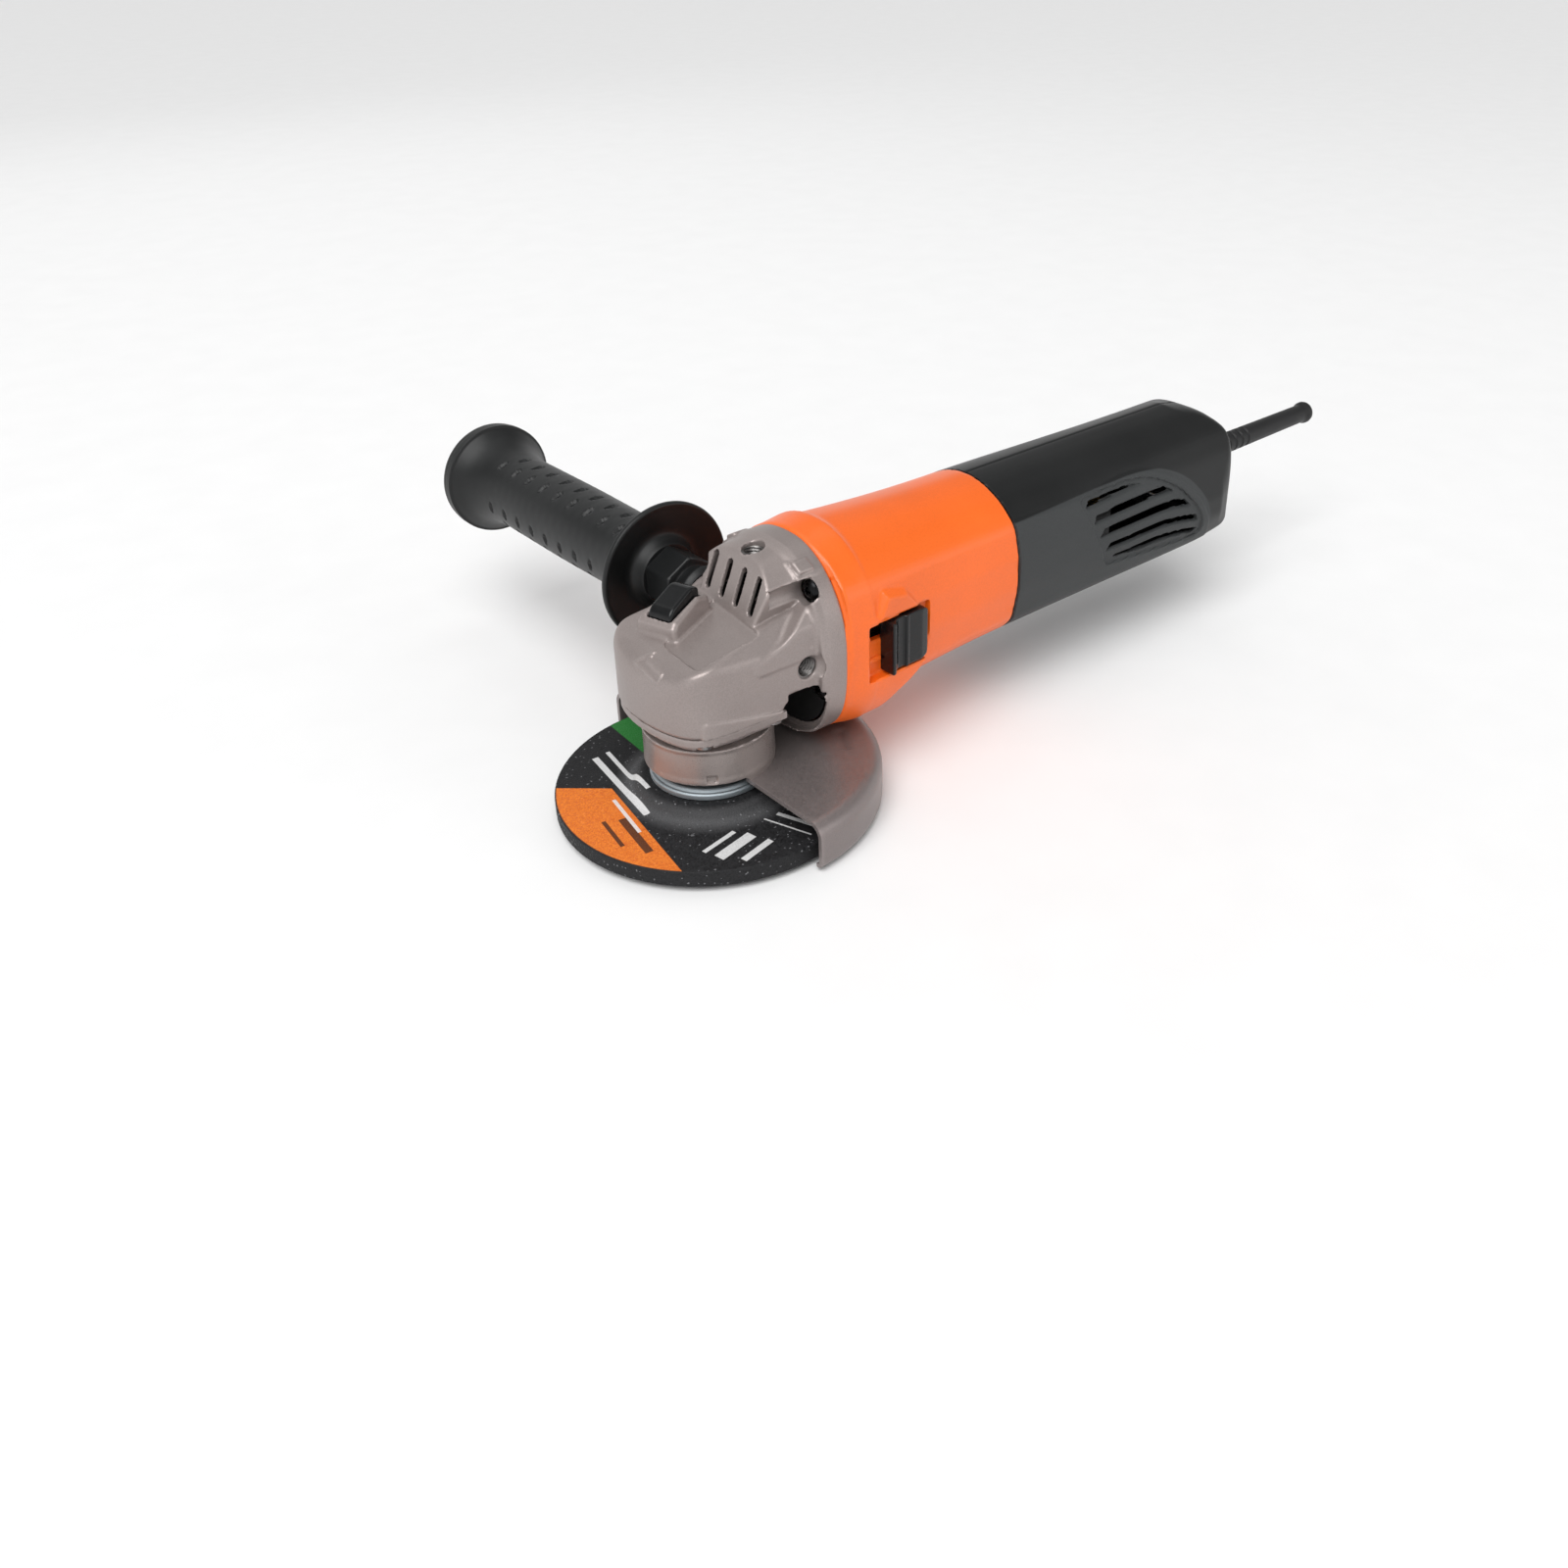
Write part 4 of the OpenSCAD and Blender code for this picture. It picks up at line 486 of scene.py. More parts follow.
def motorHousingField(x, y, z):
    # The barrel swells towards the head; a flared ring, its skirt and the switch's bosses are joined on,
    # and the motor's bore, the switch's recess and the slots under it are cut out.
    swell = 2.7 * np.clip((bodyEndX - x) / 72, 0, 1.1) ** 2
    barrel = meet(bodyOutline(y, z) - swell, np.maximum(jointX + 1 - x, x - bodyEndX), 0.5)
    oval = jointOval(y, z)
    flare = 1.9 * smooth((x - 38) / 13) - np.maximum(x - 51.5, 0) * 0.75
    ring = meet(oval - flare, jointX - x, 0.5)
    ring = meet(ring, x - 75)
    skirt = meet(oval - 1.9 * smooth((x - 38) / 12), skirtOutline(x, z), 1)
    body = join(join(barrel, ring, 1), skirt, 0.6)
    side = -y
    boss = bossOutline(x, z) + 0.75 * np.maximum(side - 31.2, 0)
    boss = meet(meet(boss, side - 35.5 + 0.07 * (x - 50), 0.3), y + 20)
    body = join(body, boss, 0.3)
    body = cut(body, rod(y, z, x, (0, motorZ), 28.9, 20, bodyEndX - 2.5))
    spigot = rod(y, z, x, (0, motorZ), 26.2, bodyEndX - 3.5, 161, 0.4)
    body = np.minimum(body, spigot)
    body = cut(body, rod(y, z, x, (0, motorZ), 24.2, 100, 158))
    seat = rod(y, z, x, (0, motorZ), 15, 148, 161)
    body = cut(np.minimum(body, seat), rod(y, z, x, (0, motorZ), 12.5, 100, 158))
    body = cut(body, np.hypot(y, z - motorZ) - 7)
    floor = block(x, y, z, (46, -33.5, 40), (84, -27, 68))
    body = np.minimum(body, meet(floor, meet(barrel + 0.3, x - 84)))
    body = cut(body, block(x, y, z, (48, -60, 42.5), (80, -30.3, 65.5), 0.8), 0.35)
    rails = block(np.abs(z - 53.6) - 4.6, x, y, (-1.1, 47.6, -31.4), (1.1, 57, -28), 0.3)
    body = np.minimum(body, rails)
    body = cut(body, block(x, y, z, (52, -31.5, 56.5), (75, -24, 63.5)))
    body = cut(body, block(x, y, z, (117, -29.1, 56.5), (131, -27.6, 63.5)))
    for py, pz in ((22.5, 82), (26.5, 44)):
        body = cut(body, rod(np.abs(y), z, x, (py, pz), 2, 30, 52))
    brush = block(x, y, np.abs(z - motorZ), (130, -4.6, 20), (142, 4.6, 34))
    return cut(body, brush)


rear = {
    "step": 0.8,
    "wall": 2.5,
    "side": [(128, 15), (128, 105), (250, 105), (254, 93.6), (269, 89.8), (277, 81.5), (277, 43), (271, 38.5),
             (243, 31.5), (236, 28.6), (236, 15)],
    "plan": [(128, -40), (160, -40), (262, -40), (263, -33), (272, -29.8), (277, -23.8), (277, 23.8),
             (272, 29.8), (263, 33), (262, 40), (128, 40)],
    "panel": [(120, 20), (120, 80.4), (176.6, 78.6), (201.3, 80.6), (222, 77.6), (238, 68.5), (249, 56),
              (256.5, 42), (258, 28), (258, 20)],
    "window": [(168.5, 77.5), (173.6, 78.6), (201.7, 78.2), (219, 75.3), (236.3, 65.4), (247.8, 51.8),
               (250, 42.8), (246, 40.6), (184, 46)],
    "tips": [(172.4, 72.7), (176.1, 66.4), (180, 60.1), (183.6, 53.8), (187.2, 47.5)],
    "screws": [(168, 84), (168, 38), (261, 80), (261, 45)],
    "slot": 1.55,
}
rearSide = Template(softCorners(rear["side"], [1, 1, 1, 6, 6, 5, 4, 4, 4, 3, 1]))
rearPlan = Template(softCorners(rear["plan"], [1, 1, 6, 6, 5, 4, 4, 5, 6, 6, 1]))
panelOutline = Template(softCorners(rear["panel"], [1, 1, 10, 12, 12, 9, 8, 6, 3, 1]))
windowOutline = Template(softCorners(rear["window"], [1.5, 5, 8, 10, 8, 5, 2, 3, 2]))


def rearField(side):
    def field(x, y, z):
        # The outline eases from the barrel's to the rear one; the sides below the crease stand flat and a
        # little proud, the louvre window is sunk into them and its slots run through on a slant.
        t = smooth((x - 130) / 110)
        hull = (1 - t) * bodyOutline(y, z) + t * rearOutline(y, z)
        hull = meet(meet(hull, rearSide(x, z), 2.5), rearPlan(x, y), 2)
        panel = panelOutline(x, z)
        skin = hull - 0.55 * smooth(0.5 - panel / 0.9) * smooth((z - 33) / 6)
        skin = meet(skin, 130.5 - x, 0.5)
        wide = np.abs(y)
        window = meet(windowOutline(x, z), 24 - wide)
        body = cut(skin, meet(window, -(skin + 1.1), 0.3), 0.4)
        body = cut(body, np.maximum(hull + rear["wall"], x - 274.5))
        lowered = z + 0.55 * (wide - 31)
        for k, (ax, az) in enumerate(rear["tips"]):
            s = x - ax
            bend = 0.0016 * np.maximum(x - 215, 0) ** 2 * (1 + 0.5 * k)
            drop = lowered - az - 0.35 * smooth(s / 50) + bend
            gap = meet(np.abs(drop) - rear["slot"], -s + 0.9 * (drop + 1.5), 0.3)
            gap = meet(gap, windowOutline(x, z) + 2.4, 0.6)
            body = cut(body, meet(gap, 20 - wide), 0.25)
        for px, pz in rear["screws"]:
            post = np.hypot(x - px, z - pz)
            body = np.minimum(body, meet(post - 4.2, hull + 0.5))
            body = cut(body, np.maximum(post - 1.9, wide - 18))
            if side > 0:
                body = cut(body, np.maximum(post - 3.4, 8 - y), 0.4)
        grip = rod(y, z, x, (0, motorZ), 10.2, 268, 276)
        body = np.minimum(body, meet(grip, hull + 0.5))
        axis = np.hypot(y, z - motorZ)
        body = cut(body, np.maximum(axis - 5.35, 262 - x), 0.5)
        body = cut(body, rod(y, z, x, (0, motorZ), 7.9, 270.8, 273.6))
        return meet(body, 0.04 - y * side, 0.35)

    return field


slider = {
    "step": 0.4,
    "face": [(57.2, 29.5), (57.2, 37.2), (57.9, 37.65), (59, 37.3), (60.2, 35.6), (62.4, 34.5), (65.4, 34.3),
             (66, 35.5), (66.9, 35.5), (67.3, 34.9), (74, 35), (77.5, 34.2), (79, 32.6), (79, 29.5)],
    "front": [(57.2, 43.4), (57.2, 64.6), (76, 64.6), (79, 62), (79, 46), (76, 43.4)],
}
sliderFace = Template(softCorners(slider["face"], 0.6))
sliderFront = Template(softCorners(slider["front"], [0.6, 0.6, 3, 3, 3, 3]))


def sliderField(x, y, z):
    body = meet(sliderFace(x, -y), sliderFront(x, z), 0.6)
    return np.minimum(body, block(x, y, z, (60, -30.8, 57), (73, -28.5, 63)))


button = {"step": 0.4, "side": [(-8.4, 69), (-8.4, 75.9), (-6.6, 78.2), (4.6, 82.5), (8.4, 81.2), (8.4, 69)]}
buttonSide = Template(softCorners(button["side"], [0.5, 1.2, 1.4, 1.6, 1.2, 0.5]))


def buttonField(x, y, z):
    u, v = atButton(x, y)
    body = meet(buttonSide(u, z), np.abs(v) - 5.1 + 0.05 * (z - 76), 1.1)
    return meet(body, 73.5 - z, 0.2)


collar = {
    "hexLow": 39.4,
    "profile": [(4.02, 30.2), (9.3, 30.2), (9.9, 30.8), (10.9, 32.3), (10.9, 32.8), (8.6, 38.6), (8.6, 39.2),
                (8.9, 39.5), (11.4, 40.2), (12.05, 41), (12.05, 54.9), (4.02, 54.9)],
}


# radius falls from a corner's to a flat's, sixty degrees apart, between two heights
def hexFlats(radius, height, turn):
    away = np.mod(turn + math.pi / 6, math.pi / 3) - math.pi / 6
    flat = 1 / np.cos(np.mod(turn, math.pi / 3) - math.pi / 6) * math.cos(math.pi / 6)
    share = smooth((height - collar["hexLow"] - 0.4) / 0.8) * (radius > 6)
    soft = np.minimum(flat, 0.985)
    return radius * (1 + share * (soft - 1)), height + 0 * away


def makeHandleCollar():
    profile = finely(np.array(collar["profile"]), 0.7)
    return lathe("handleCollar", profile, "y", (socketX, 0, handleZ), 144, hexFlats)


class Wire:  # an output of a node that can be used in sums
    def __init__(self, shop, socket):
        self.shop, self.socket = shop, socket

    def calc(self, kind, *values):
        return self.shop.node("Math", {"operation": kind}, dict(enumerate(values)))

    def __add__(self, other):
        return self.calc("ADD", self, other)

    def __sub__(self, other):
        return self.calc("SUBTRACT", self, other)

    def __rsub__(self, other):
        return self.calc("SUBTRACT", other, self)

    def __mul__(self, other):
        return self.calc("MULTIPLY", self, other)

    def __truediv__(self, other):
        return self.calc("DIVIDE", self, other)

    def __pow__(self, other):
        return self.calc("POWER", self, other)

    __radd__ = __add__
    __rmul__ = __mul__

    def __abs__(self):
        return self.calc("ABSOLUTE", self)

    def above(self, edge, width):  # rises from 0 to 1 across a narrow band round edge
        return self.shop.node("MapRange", {}, {0: self, 1: edge - width / 2, 2: edge + width / 2, 3: 0.0, 4: 1.0})

    def between(self, low, high):  # the 0 to 1 range of a pattern spread over low to high
        return self.shop.node("MapRange", {}, {0: self, 1: 0.0, 2: 1.0, 3: low, 4: high})

    def least(self, other):
        return self.calc("MINIMUM", self, other)

    def most(self, other):
        return self.calc("MAXIMUM", self, other)


class Nodes:  # a node tree, with one way to add any node to it
    def __init__(self, tree):
        self.tree = tree

    def node(self, kind, settings, sockets, out=0):
        made = self.tree.nodes.new("ShaderNode" + kind)
        for key, value in settings.items():
            setattr(made, key, value)
        for key, value in sockets.items():
            if isinstance(value, Wire):
                self.tree.links.new(value.socket, made.inputs[key])
            else:
                made.inputs[key].default_value = value
        return Wire(self, made.outputs[out])


class Finish(Nodes):  # one material, with the patterns that the finishes share
    def __init__(self, name, **fixed):
        self.material = bpy.data.materials.new(name)
        self.material.use_nodes = True
        super().__init__(self.material.node_tree)
        self.shader = self.tree.nodes["Principled BSDF"]
        for key, value in fixed.items():
            self.shader.inputs[key.replace("_", " ")].default_value = value
        self.place = self.node("TexCoord", {}, {}, "Object")
        self.apart = {}

    def feed(self, socket, wire):
        self.tree.links.new(wire.socket, self.shader.inputs[socket])

    def axis(self, name):  # one coordinate in metres
        if not self.apart:
            made = self.node("SeparateXYZ", {}, {0: self.place}).socket.node
            self.apart = {key: Wire(self, made.outputs[key]) for key in "XYZ"}
        return self.apart[name]

    def noise(self, size, detail=2.0, rough=0.5, place=None):  # size of a patch in millimetres
        sockets = {"Vector": place or self.place, "Scale": 1000 / size, "Detail": detail, "Roughness": rough}
        return self.node("TexNoise", {}, sockets)

    def grains(self, size, out="Distance"):
        return self.node("TexVoronoi", {}, {"Vector": self.place, "Scale": 1000 / size}, out)

    def stretched(self, x, y, z, size, detail=3.0):  # noise drawn out along the axes with small factors
        place = self.node("VectorMath", {"operation": "MULTIPLY"}, {0: self.place, 1: (x, y, z)})
        return self.noise(size, detail, 0.6, place)

    def tint(self, factor, first, second):  # one colour fading into another; a plain colour gets its alpha here
        first, second = [c if isinstance(c, Wire) else (*c, 1) for c in (first, second)]
        return self.node("Mix", {"data_type": "RGBA"}, {0: factor, 6: first, 7: second}, 2)

    def bump(self, height, depth, strength=1.0, under=None):  # depth in millimetres
        sockets = {"Strength": strength, "Distance": depth * mm, "Height": height}
        if under:
            sockets["Normal"] = under
        return self.node("Bump", {}, sockets, "Normal")

    def edges(self, low, high):  # 1 on sharp outer edges, 0 elsewhere: where edges get a painted highlight, in moulded plastic also wear
        point = self.node("NewGeometry", {}, {}, "Pointiness")
        return point.above((low + high) / 2, high - low)

    def bar(self, p, q, half, blur=0.12):  # 1 on a straight printed bar from p to q, in plan
        px, py = p[0] * mm, p[1] * mm
        length = math.hypot(q[0] - p[0], q[1] - p[1])
        a, b = (q[0] - p[0]) / length, (q[1] - p[1]) / length
        x, y = self.axis("X") - px, self.axis("Y") - py
        along, across = abs(x * a + y * b - length / 2 * mm), abs(y * a - x * b)
        return (1 - along.above(length / 2 * mm, blur * mm)).least(1 - across.above(half * mm, blur * mm))


def castPaint(name, colour, rough, grain):
    # Metallic paint on a cast skin: fine flakes, a soft mottle, paler edges as a painted highlight, and the skin's
    # grain as bump. The room behind the ramp's slots gets painted shade, near-black: deeper than 1.4 mm under the
    # ramp's plane, below the top.
    f = Finish(name, Metallic=0.35, Coat_Weight=0.0)
    mottle, fine, flakes = f.noise(14, 3), f.noise(grain, 2, 0.7), f.grains(0.45, "Color")
    sparkle = f.node("SeparateColor", {}, {0: flakes})
    dark, pale = [c * 0.86 for c in colour], [min(1, c * 1.16) for c in colour]
    base = f.tint((fine * 0.55 + mottle * 0.25 + sparkle * 0.2).above(0.5, 0.42), dark, pale)
    # painted highlight: sharp edges lightened
    base = f.tint(f.edges(0.505, 0.56) * 0.4, base, [min(1, c * 1.45) for c in colour])
    x, y, z = f.axis("X"), f.axis("Y"), f.axis("Z")
    # painted shade: the hollow behind the ramp's slots is coloured near-black
    deep = (x - y * 0.1 - 10.5 * mm) * 0.91 - (z - 73.5 * mm) * 0.414
    inside = deep.above(1.4 * mm, 0.5 * mm) * z.above(74.7 * mm, 0.5 * mm) * (1 - z.above(86 * mm, 0.5 * mm))
    inside = inside * (1 - abs(y).above(16.2 * mm, 0.3 * mm)) * (1 - x.above(30 * mm, 1 * mm))
    f.feed("Base Color", f.tint(inside, base, (0.006, 0.006, 0.006)))
    f.feed("Roughness", (fine * 0.16 + mottle * 0.1) + (rough - 0.13))
    f.feed("Metallic", sparkle * 0.35 + 0.3)
    f.feed("Normal", f.bump(f.noise(0.9, 2), 0.05, 0.5, f.bump(fine, 0.03, 0.5)))
    return f.material


def mould(name, colour, rough, grain, depth, sheen=0.0, edgeWearAndHighlight=0.12, wave=30.0, shine=0.5, patch=None):
    # Moulded plastic: spark-eroded grain as bump, slow changes of gloss from handling, edges painted paler as rubbing
    # wear and as a painted highlight.
    f = Finish(name, Coat_Weight=sheen, Coat_Roughness=0.12, Specular_IOR_Level=shine)
    fine, slow = f.noise(grain, 3, 0.65), f.noise(wave, 3)
    dark, pale = [c * 0.85 for c in colour], [min(1, c * 1.12 + 0.002) for c in colour]
    base = f.tint((fine * 0.4 + slow * 0.6).above(0.5, 0.4), dark, pale)
    # edges painted paler: rubbing wear and painted highlight
    base = f.tint(f.edges(0.51, 0.58) * edgeWearAndHighlight, base, [min(1, c * 1.5 + 0.03) for c in colour])
    polish = slow * 0.18 + fine * 0.08 + (rough - 0.13)
    if patch:  # a duller, paler field within the same moulding
        field = patch(f)
        base, polish = f.tint(field, base,
                              f.tint(fine, (0.026, 0.028, 0.029), (0.046, 0.049, 0.05))), polish + field * 0.2
    f.feed("Base Color", base)
    f.feed("Roughness", polish)
    f.feed("Normal", f.bump(fine, depth, 0.6))
    return f.material


def sidePanel(f):
    # The rear housing's flat sides: outside 27 mm of the middle, and inside a rounded corner whose powers of
    # the way along from x = 200 and up from z = 28 add to less than 1.
    x, y, z = f.axis("X"), f.axis("Y"), f.axis("Z")
    a, b = ((x - 200 * mm) / (58 * mm)).most(0.0), ((z - 28 * mm) / (51.6 * mm)).most(0.0)
    corner = a**2.4 + b**2.4
    return (1 - corner.above(1.0, 0.02)) * abs(y).above(25 * mm, 0.5 * mm)


def turned(name, colour, rough, axis, ring=0.22):
    # Turned metal: tool rings at each radius and height round the axis, a light brushing of gloss, and stains.
    f = Finish(name, Metallic=1.0)
    a, b = {"x": ("Y", "Z"), "y": ("X", "Z"), "z": ("X", "Y")}[axis[0]]
    u, v = f.axis(a) - axis[1] * mm, f.axis(b) - axis[2] * mm
    radius = (u * u + v * v) ** 0.5
    place = f.node("CombineXYZ", {}, {0: radius, 1: f.axis(axis[0].upper())})
    rings, stain = f.noise(ring, 3, 0.6, place), f.noise(9, 4)
    f.feed("Base Color",
           f.tint(rings * 0.4 + stain * 0.6, [c * 0.72 for c in colour], [min(1, c * 1.2) for c in colour]))
    f.feed("Roughness", rings * 0.18 + stain * 0.16 + (rough - 0.16))
    f.feed("Normal", f.bump(rings, 0.02, 0.45))
    return f.material


def pressed(name, colour, rough, along=(1, 1, 1), size=0.5):
    # Plated, ground or stamped metal: brushing drawn out along one axis, with fine speckle and dull patches.
    f = Finish(name, Metallic=1.0)
    brush, spots = f.stretched(*along, size), f.noise(6, 4)
    f.feed("Base Color",
           f.tint(brush * 0.5 + spots * 0.5, [c * 0.7 for c in colour], [min(1, c * 1.18) for c in colour]))
    f.feed("Roughness", brush * 0.2 + spots * 0.2 + (rough - 0.2))
    f.feed("Normal", f.bump(brush, 0.02, 0.4))
    return f.material


def layered(name, colour, rough, axis, pitch, metallic=1.0, groove=0.05):
    # Stacked or wound layers: a groove every pitch along the axis, with each layer's own shade.
    f = Finish(name, Metallic=metallic)
    place = f.axis(axis) / (pitch * mm)
    saw = place.calc("FRACT", place)
    step = place.calc("FLOOR", place)
    shade = f.node("TexWhiteNoise", {"noise_dimensions": "1D"}, {"W": step})
    stain = f.noise(5, 4)
    base = f.tint(shade * 0.5 + stain * 0.5, [c * 0.7 for c in colour], [min(1, c * 1.2) for c in colour])
    gap = abs(saw - 0.5)
    f.feed("Base Color", f.tint(gap.above(0.43, 0.08), base, [c * 0.3 for c in colour]))
    f.feed("Roughness", stain * 0.2 + (rough - 0.1))
    f.feed("Normal", f.bump(gap * -1.0, groove, 0.7, f.bump(f.noise(0.4, 2), 0.02, 0.4)))
    return f.material


def gritted(name):
    # Resin-bonded grit: dark grains of two sizes with bright facets here and there, over a scrim of glass cloth.
    f = Finish(name, Specular_IOR_Level=0.22)
    grains, small, cloth = f.grains(0.55, "Color"), f.noise(0.35, 3, 0.7), f.noise(12, 3)
    shade = f.node("SeparateColor", {}, {0: grains})
    weave = f.node("TexWave", {"bands_direction": "X"}, {"Vector": f.place, "Scale": 130.0, "Distortion": 1.5})
    base = f.tint(shade * 0.6 + small * 0.4, (0.002, 0.002, 0.0023), (0.03, 0.03, 0.032))
    base = f.tint(shade.above(0.985, 0.01) * 0.3, base, (0.45, 0.45, 0.47))
    x, y, z = f.axis("X"), f.axis("Y"), f.axis("Z")
    radius = (x * x + y * y) ** 0.5
    # painted highlight: a pale grey ring on the slope round the sunk hub
    hubRingHighlight = (1 - abs(radius - 30.5 * mm).above(3.2 * mm, 5 * mm)) * 0.35
    base = f.tint(hubRingHighlight * small, base, (0.33, 0.33, 0.34))
    face = z.above(5.9 * mm, 0.3 * mm) * (1 - radius.above(56.9 * mm, 0.4 * mm))

    def beyond(p, q):  # 1 on the left of a line from p to q
        length = math.hypot(q[0] - p[0], q[1] - p[1])
        a, b = (q[0] - p[0]) / length, (q[1] - p[1]) / length
        return ((y - p[1] * mm) * a - (x - p[0] * mm) * b).above(0.0, 0.25 * mm)

    label = beyond((-31.7, 18.7), (-38.4, 24.9)) * beyond((-41.4, -39.9), (-31.7, 18.7))
    label = label * radius.above(34 * mm, 0.3 * mm)
    orange = f.tint(shade * 0.5 + small * 0.5, (0.62, 0.1, 0.01), (1.0, 0.3, 0.04))
    base = f.tint(label * face * (0.62 + small * 0.5).least(1.0), base, orange)
    green = beyond((4, 33), (2, 60)) * beyond((-8, 57), (-9.4, 32.4)) * y.above(20 * mm, 1 * mm)
    base = f.tint(green * face * radius.above(33 * mm, 0.3 * mm) * 0.9, base, (0.03, 0.19, 0.04))
    white = None
    for p, q, half in (
        ((-25.2, 40.4), (-31.4, -3.8), 1.25), ((-19.4, 40.8), (-25, 4.2), 0.85), ((-35.2, 12), (-39.3, -11), 0.7),
        ((-14.5, -33), (-29.5, -35.5), 0.9), ((-11, -38.5), (-27.5, -41.5), 2.1), ((-8, -45.5), (-22, -48.2), 1.3),
        ((-2, -34), (4.5, -52.5), 0.35), ((3.5, -34.5), (9, -49.5), 0.9), ((8.6, -34.5), (14.4, -49.6), 1.2),
        ((19, -33), (23.5, -44.5), 0.5), ((23.5, -30.5), (30.5, -44.5), 0.7),
    ):
        bar = f.bar(p, q, half)
        white = bar if white is None else white.most(bar)
    for p, q, half in (((-39.5, 0), (-43.3, -23), 1.5), ((-45.4, 3), (-48.3, -14), 0.8)):  # dark bars on the orange
        base = f.tint(f.bar(p, q, half) * 0.85, base, (0.012, 0.012, 0.012))
    base = f.tint(white * face * (0.4 + small * 0.9).least(1.0), base, (0.72, 0.72, 0.72))
    f.feed("Base Color", base)
    f.feed("Roughness", shade.between(0.42, 0.85))
    height = f.grains(0.75) * -1.0 + small * 0.7
    f.feed("Normal", f.bump(weave * 0.3 + cloth * 0.2, 0.1, 0.25, f.bump(height, 0.16, 0.75)))
    return f.material


print("finishes")
finish = {
    "cast": castPaint("cast_paint", (0.295, 0.253, 0.241), 0.42, 0.5),
    "guard": castPaint("guard_paint", (0.215, 0.185, 0.18), 0.36, 0.28),
    "collar": castPaint("collar_paint", (0.33, 0.285, 0.27), 0.3, 0.3),
    "orange": mould("orange_housing", (0.87, 0.135, 0.006), 0.4, 0.7, 0.012, 0.12, 0.1, 60),
    "black": mould("black_housing", (0.0065, 0.007, 0.0072), 0.38, 0.55, 0.05, 0.0, 0.12, 40, 0.32),
    "rear": mould("rear_housing_black", (0.0065, 0.007, 0.0072), 0.38, 0.55, 0.05, 0.0, 0.12, 40, 0.32, sidePanel),
    "gloss": mould("black_thumb_piece", (0.005, 0.0055, 0.006), 0.25, 0.6, 0.012, 0.1, 0.15, 8, 0.28),
    "grip": mould("black_grip", (0.0055, 0.0062, 0.0065), 0.44, 0.6, 0.05, 0.0, 0.12, 30, 0.38),
    "rubber": mould("black_rubber", (0.008, 0.008, 0.0085), 0.5, 0.35, 0.03, 0.0, 0.15, 12, 0.35),
    "amber": mould("amber_case", (0.62, 0.36, 0.05), 0.35, 0.8, 0.02, 0.2, 0.2, 10),
    "white": mould("nylon_fan", (0.72, 0.71, 0.66), 0.48, 0.5, 0.03, 0.0, 0.1, 14),
    "disc": gritted("grinding_grit"),
    "flange": turned("turned_flange", (0.42, 0.47, 0.5), 0.56, ("z", 0, 0)),
    "spindle": turned("turned_spindle", (0.56, 0.57, 0.59), 0.3, ("z", 0, 0)),
    "shaft": turned("turned_shaft", (0.56, 0.57, 0.59), 0.28, ("x", 0, 60)),
    "stud": turned("rolled_stud", (0.55, 0.56, 0.58), 0.33, ("y", 24, 63)),
    "bronze": turned("sintered_bronze", (0.5, 0.31, 0.12), 0.42, ("z", 0, 0)),
    "brass": pressed("pressed_brass", (0.72, 0.5, 0.2), 0.34),
    "gear": pressed("ground_gear", (0.3, 0.3, 0.32), 0.36),
    "screw": pressed("zinc_screw", (0.6, 0.6, 0.6), 0.34, (1, 1, 1), 0.3),
    "dark": pressed("black_oxide", (0.045, 0.045, 0.048), 0.42, (1, 1, 1), 0.4),
    "blackScrew": pressed("black_screw", (0.02, 0.02, 0.021), 0.3, (1, 1, 1), 0.5),
    "spring": pressed("spring_wire", (0.5, 0.5, 0.52), 0.28, (1, 1, 1), 0.25),
    "stack": layered("stacked_sheet", (0.28, 0.29, 0.3), 0.45, "X", 0.5),
    "winding": layered("enamelled_wire", (0.55, 0.2, 0.06), 0.3, "Z", 0.6, 0.8, 0.15),
    "coil": layered("field_coil_wire", (0.6, 0.24, 0.07), 0.32, "Y", 0.6, 0.8, 0.15),
    "bars": layered("commutator_bars", (0.68, 0.34, 0.18), 0.26, "X", 3.2, 1.0, 0.04),
    "carbon": mould("pressed_carbon", (0.03, 0.03, 0.033), 0.6, 0.25, 0.04, 0.0, 0.3, 6),
    "thread": turned("cut_thread", (0.2, 0.19, 0.185), 0.38, ("z", 0, 0), 0.6),
}


grip = {
    "start": 58,
    "profile": [(4.02, -3), (12, -3), (13.2, -0.6), (15.5, 2.2), (26.2, -1.3), (27.6, -1.7), (28.5, -1),
                (28.5, 0.5), (27.9, 1.1), (19.5, 5.2), (16.6, 9.5), (15.9, 20), (16.4, 60), (16.1, 108),
                (16.9, 117), (19.4, 124), (23.1, 129), (24.3, 129.6), (24.3, 132.9), (12.4, 132.9), (12.4, 44),
                (4.02, 40)],
    "soft": [0.1, 0.1, 1, 3, 2, 0.6, 0.5, 0.5, 0.5, 3, 3, 6, 10, 6, 4, 3, 0.4, 0.25, 0.3, 0.1, 0.1, 0.1],
    "rows": (-36, -65, 36, 65, 144, 115, -144, -115),
    "dents": 9, "firstDent": 18.5, "pitch": 11.3, "dentLength": 6.2, "dentWidth": 2.4, "dentDepth": 0.95,
    "bandTurn": -65,
}


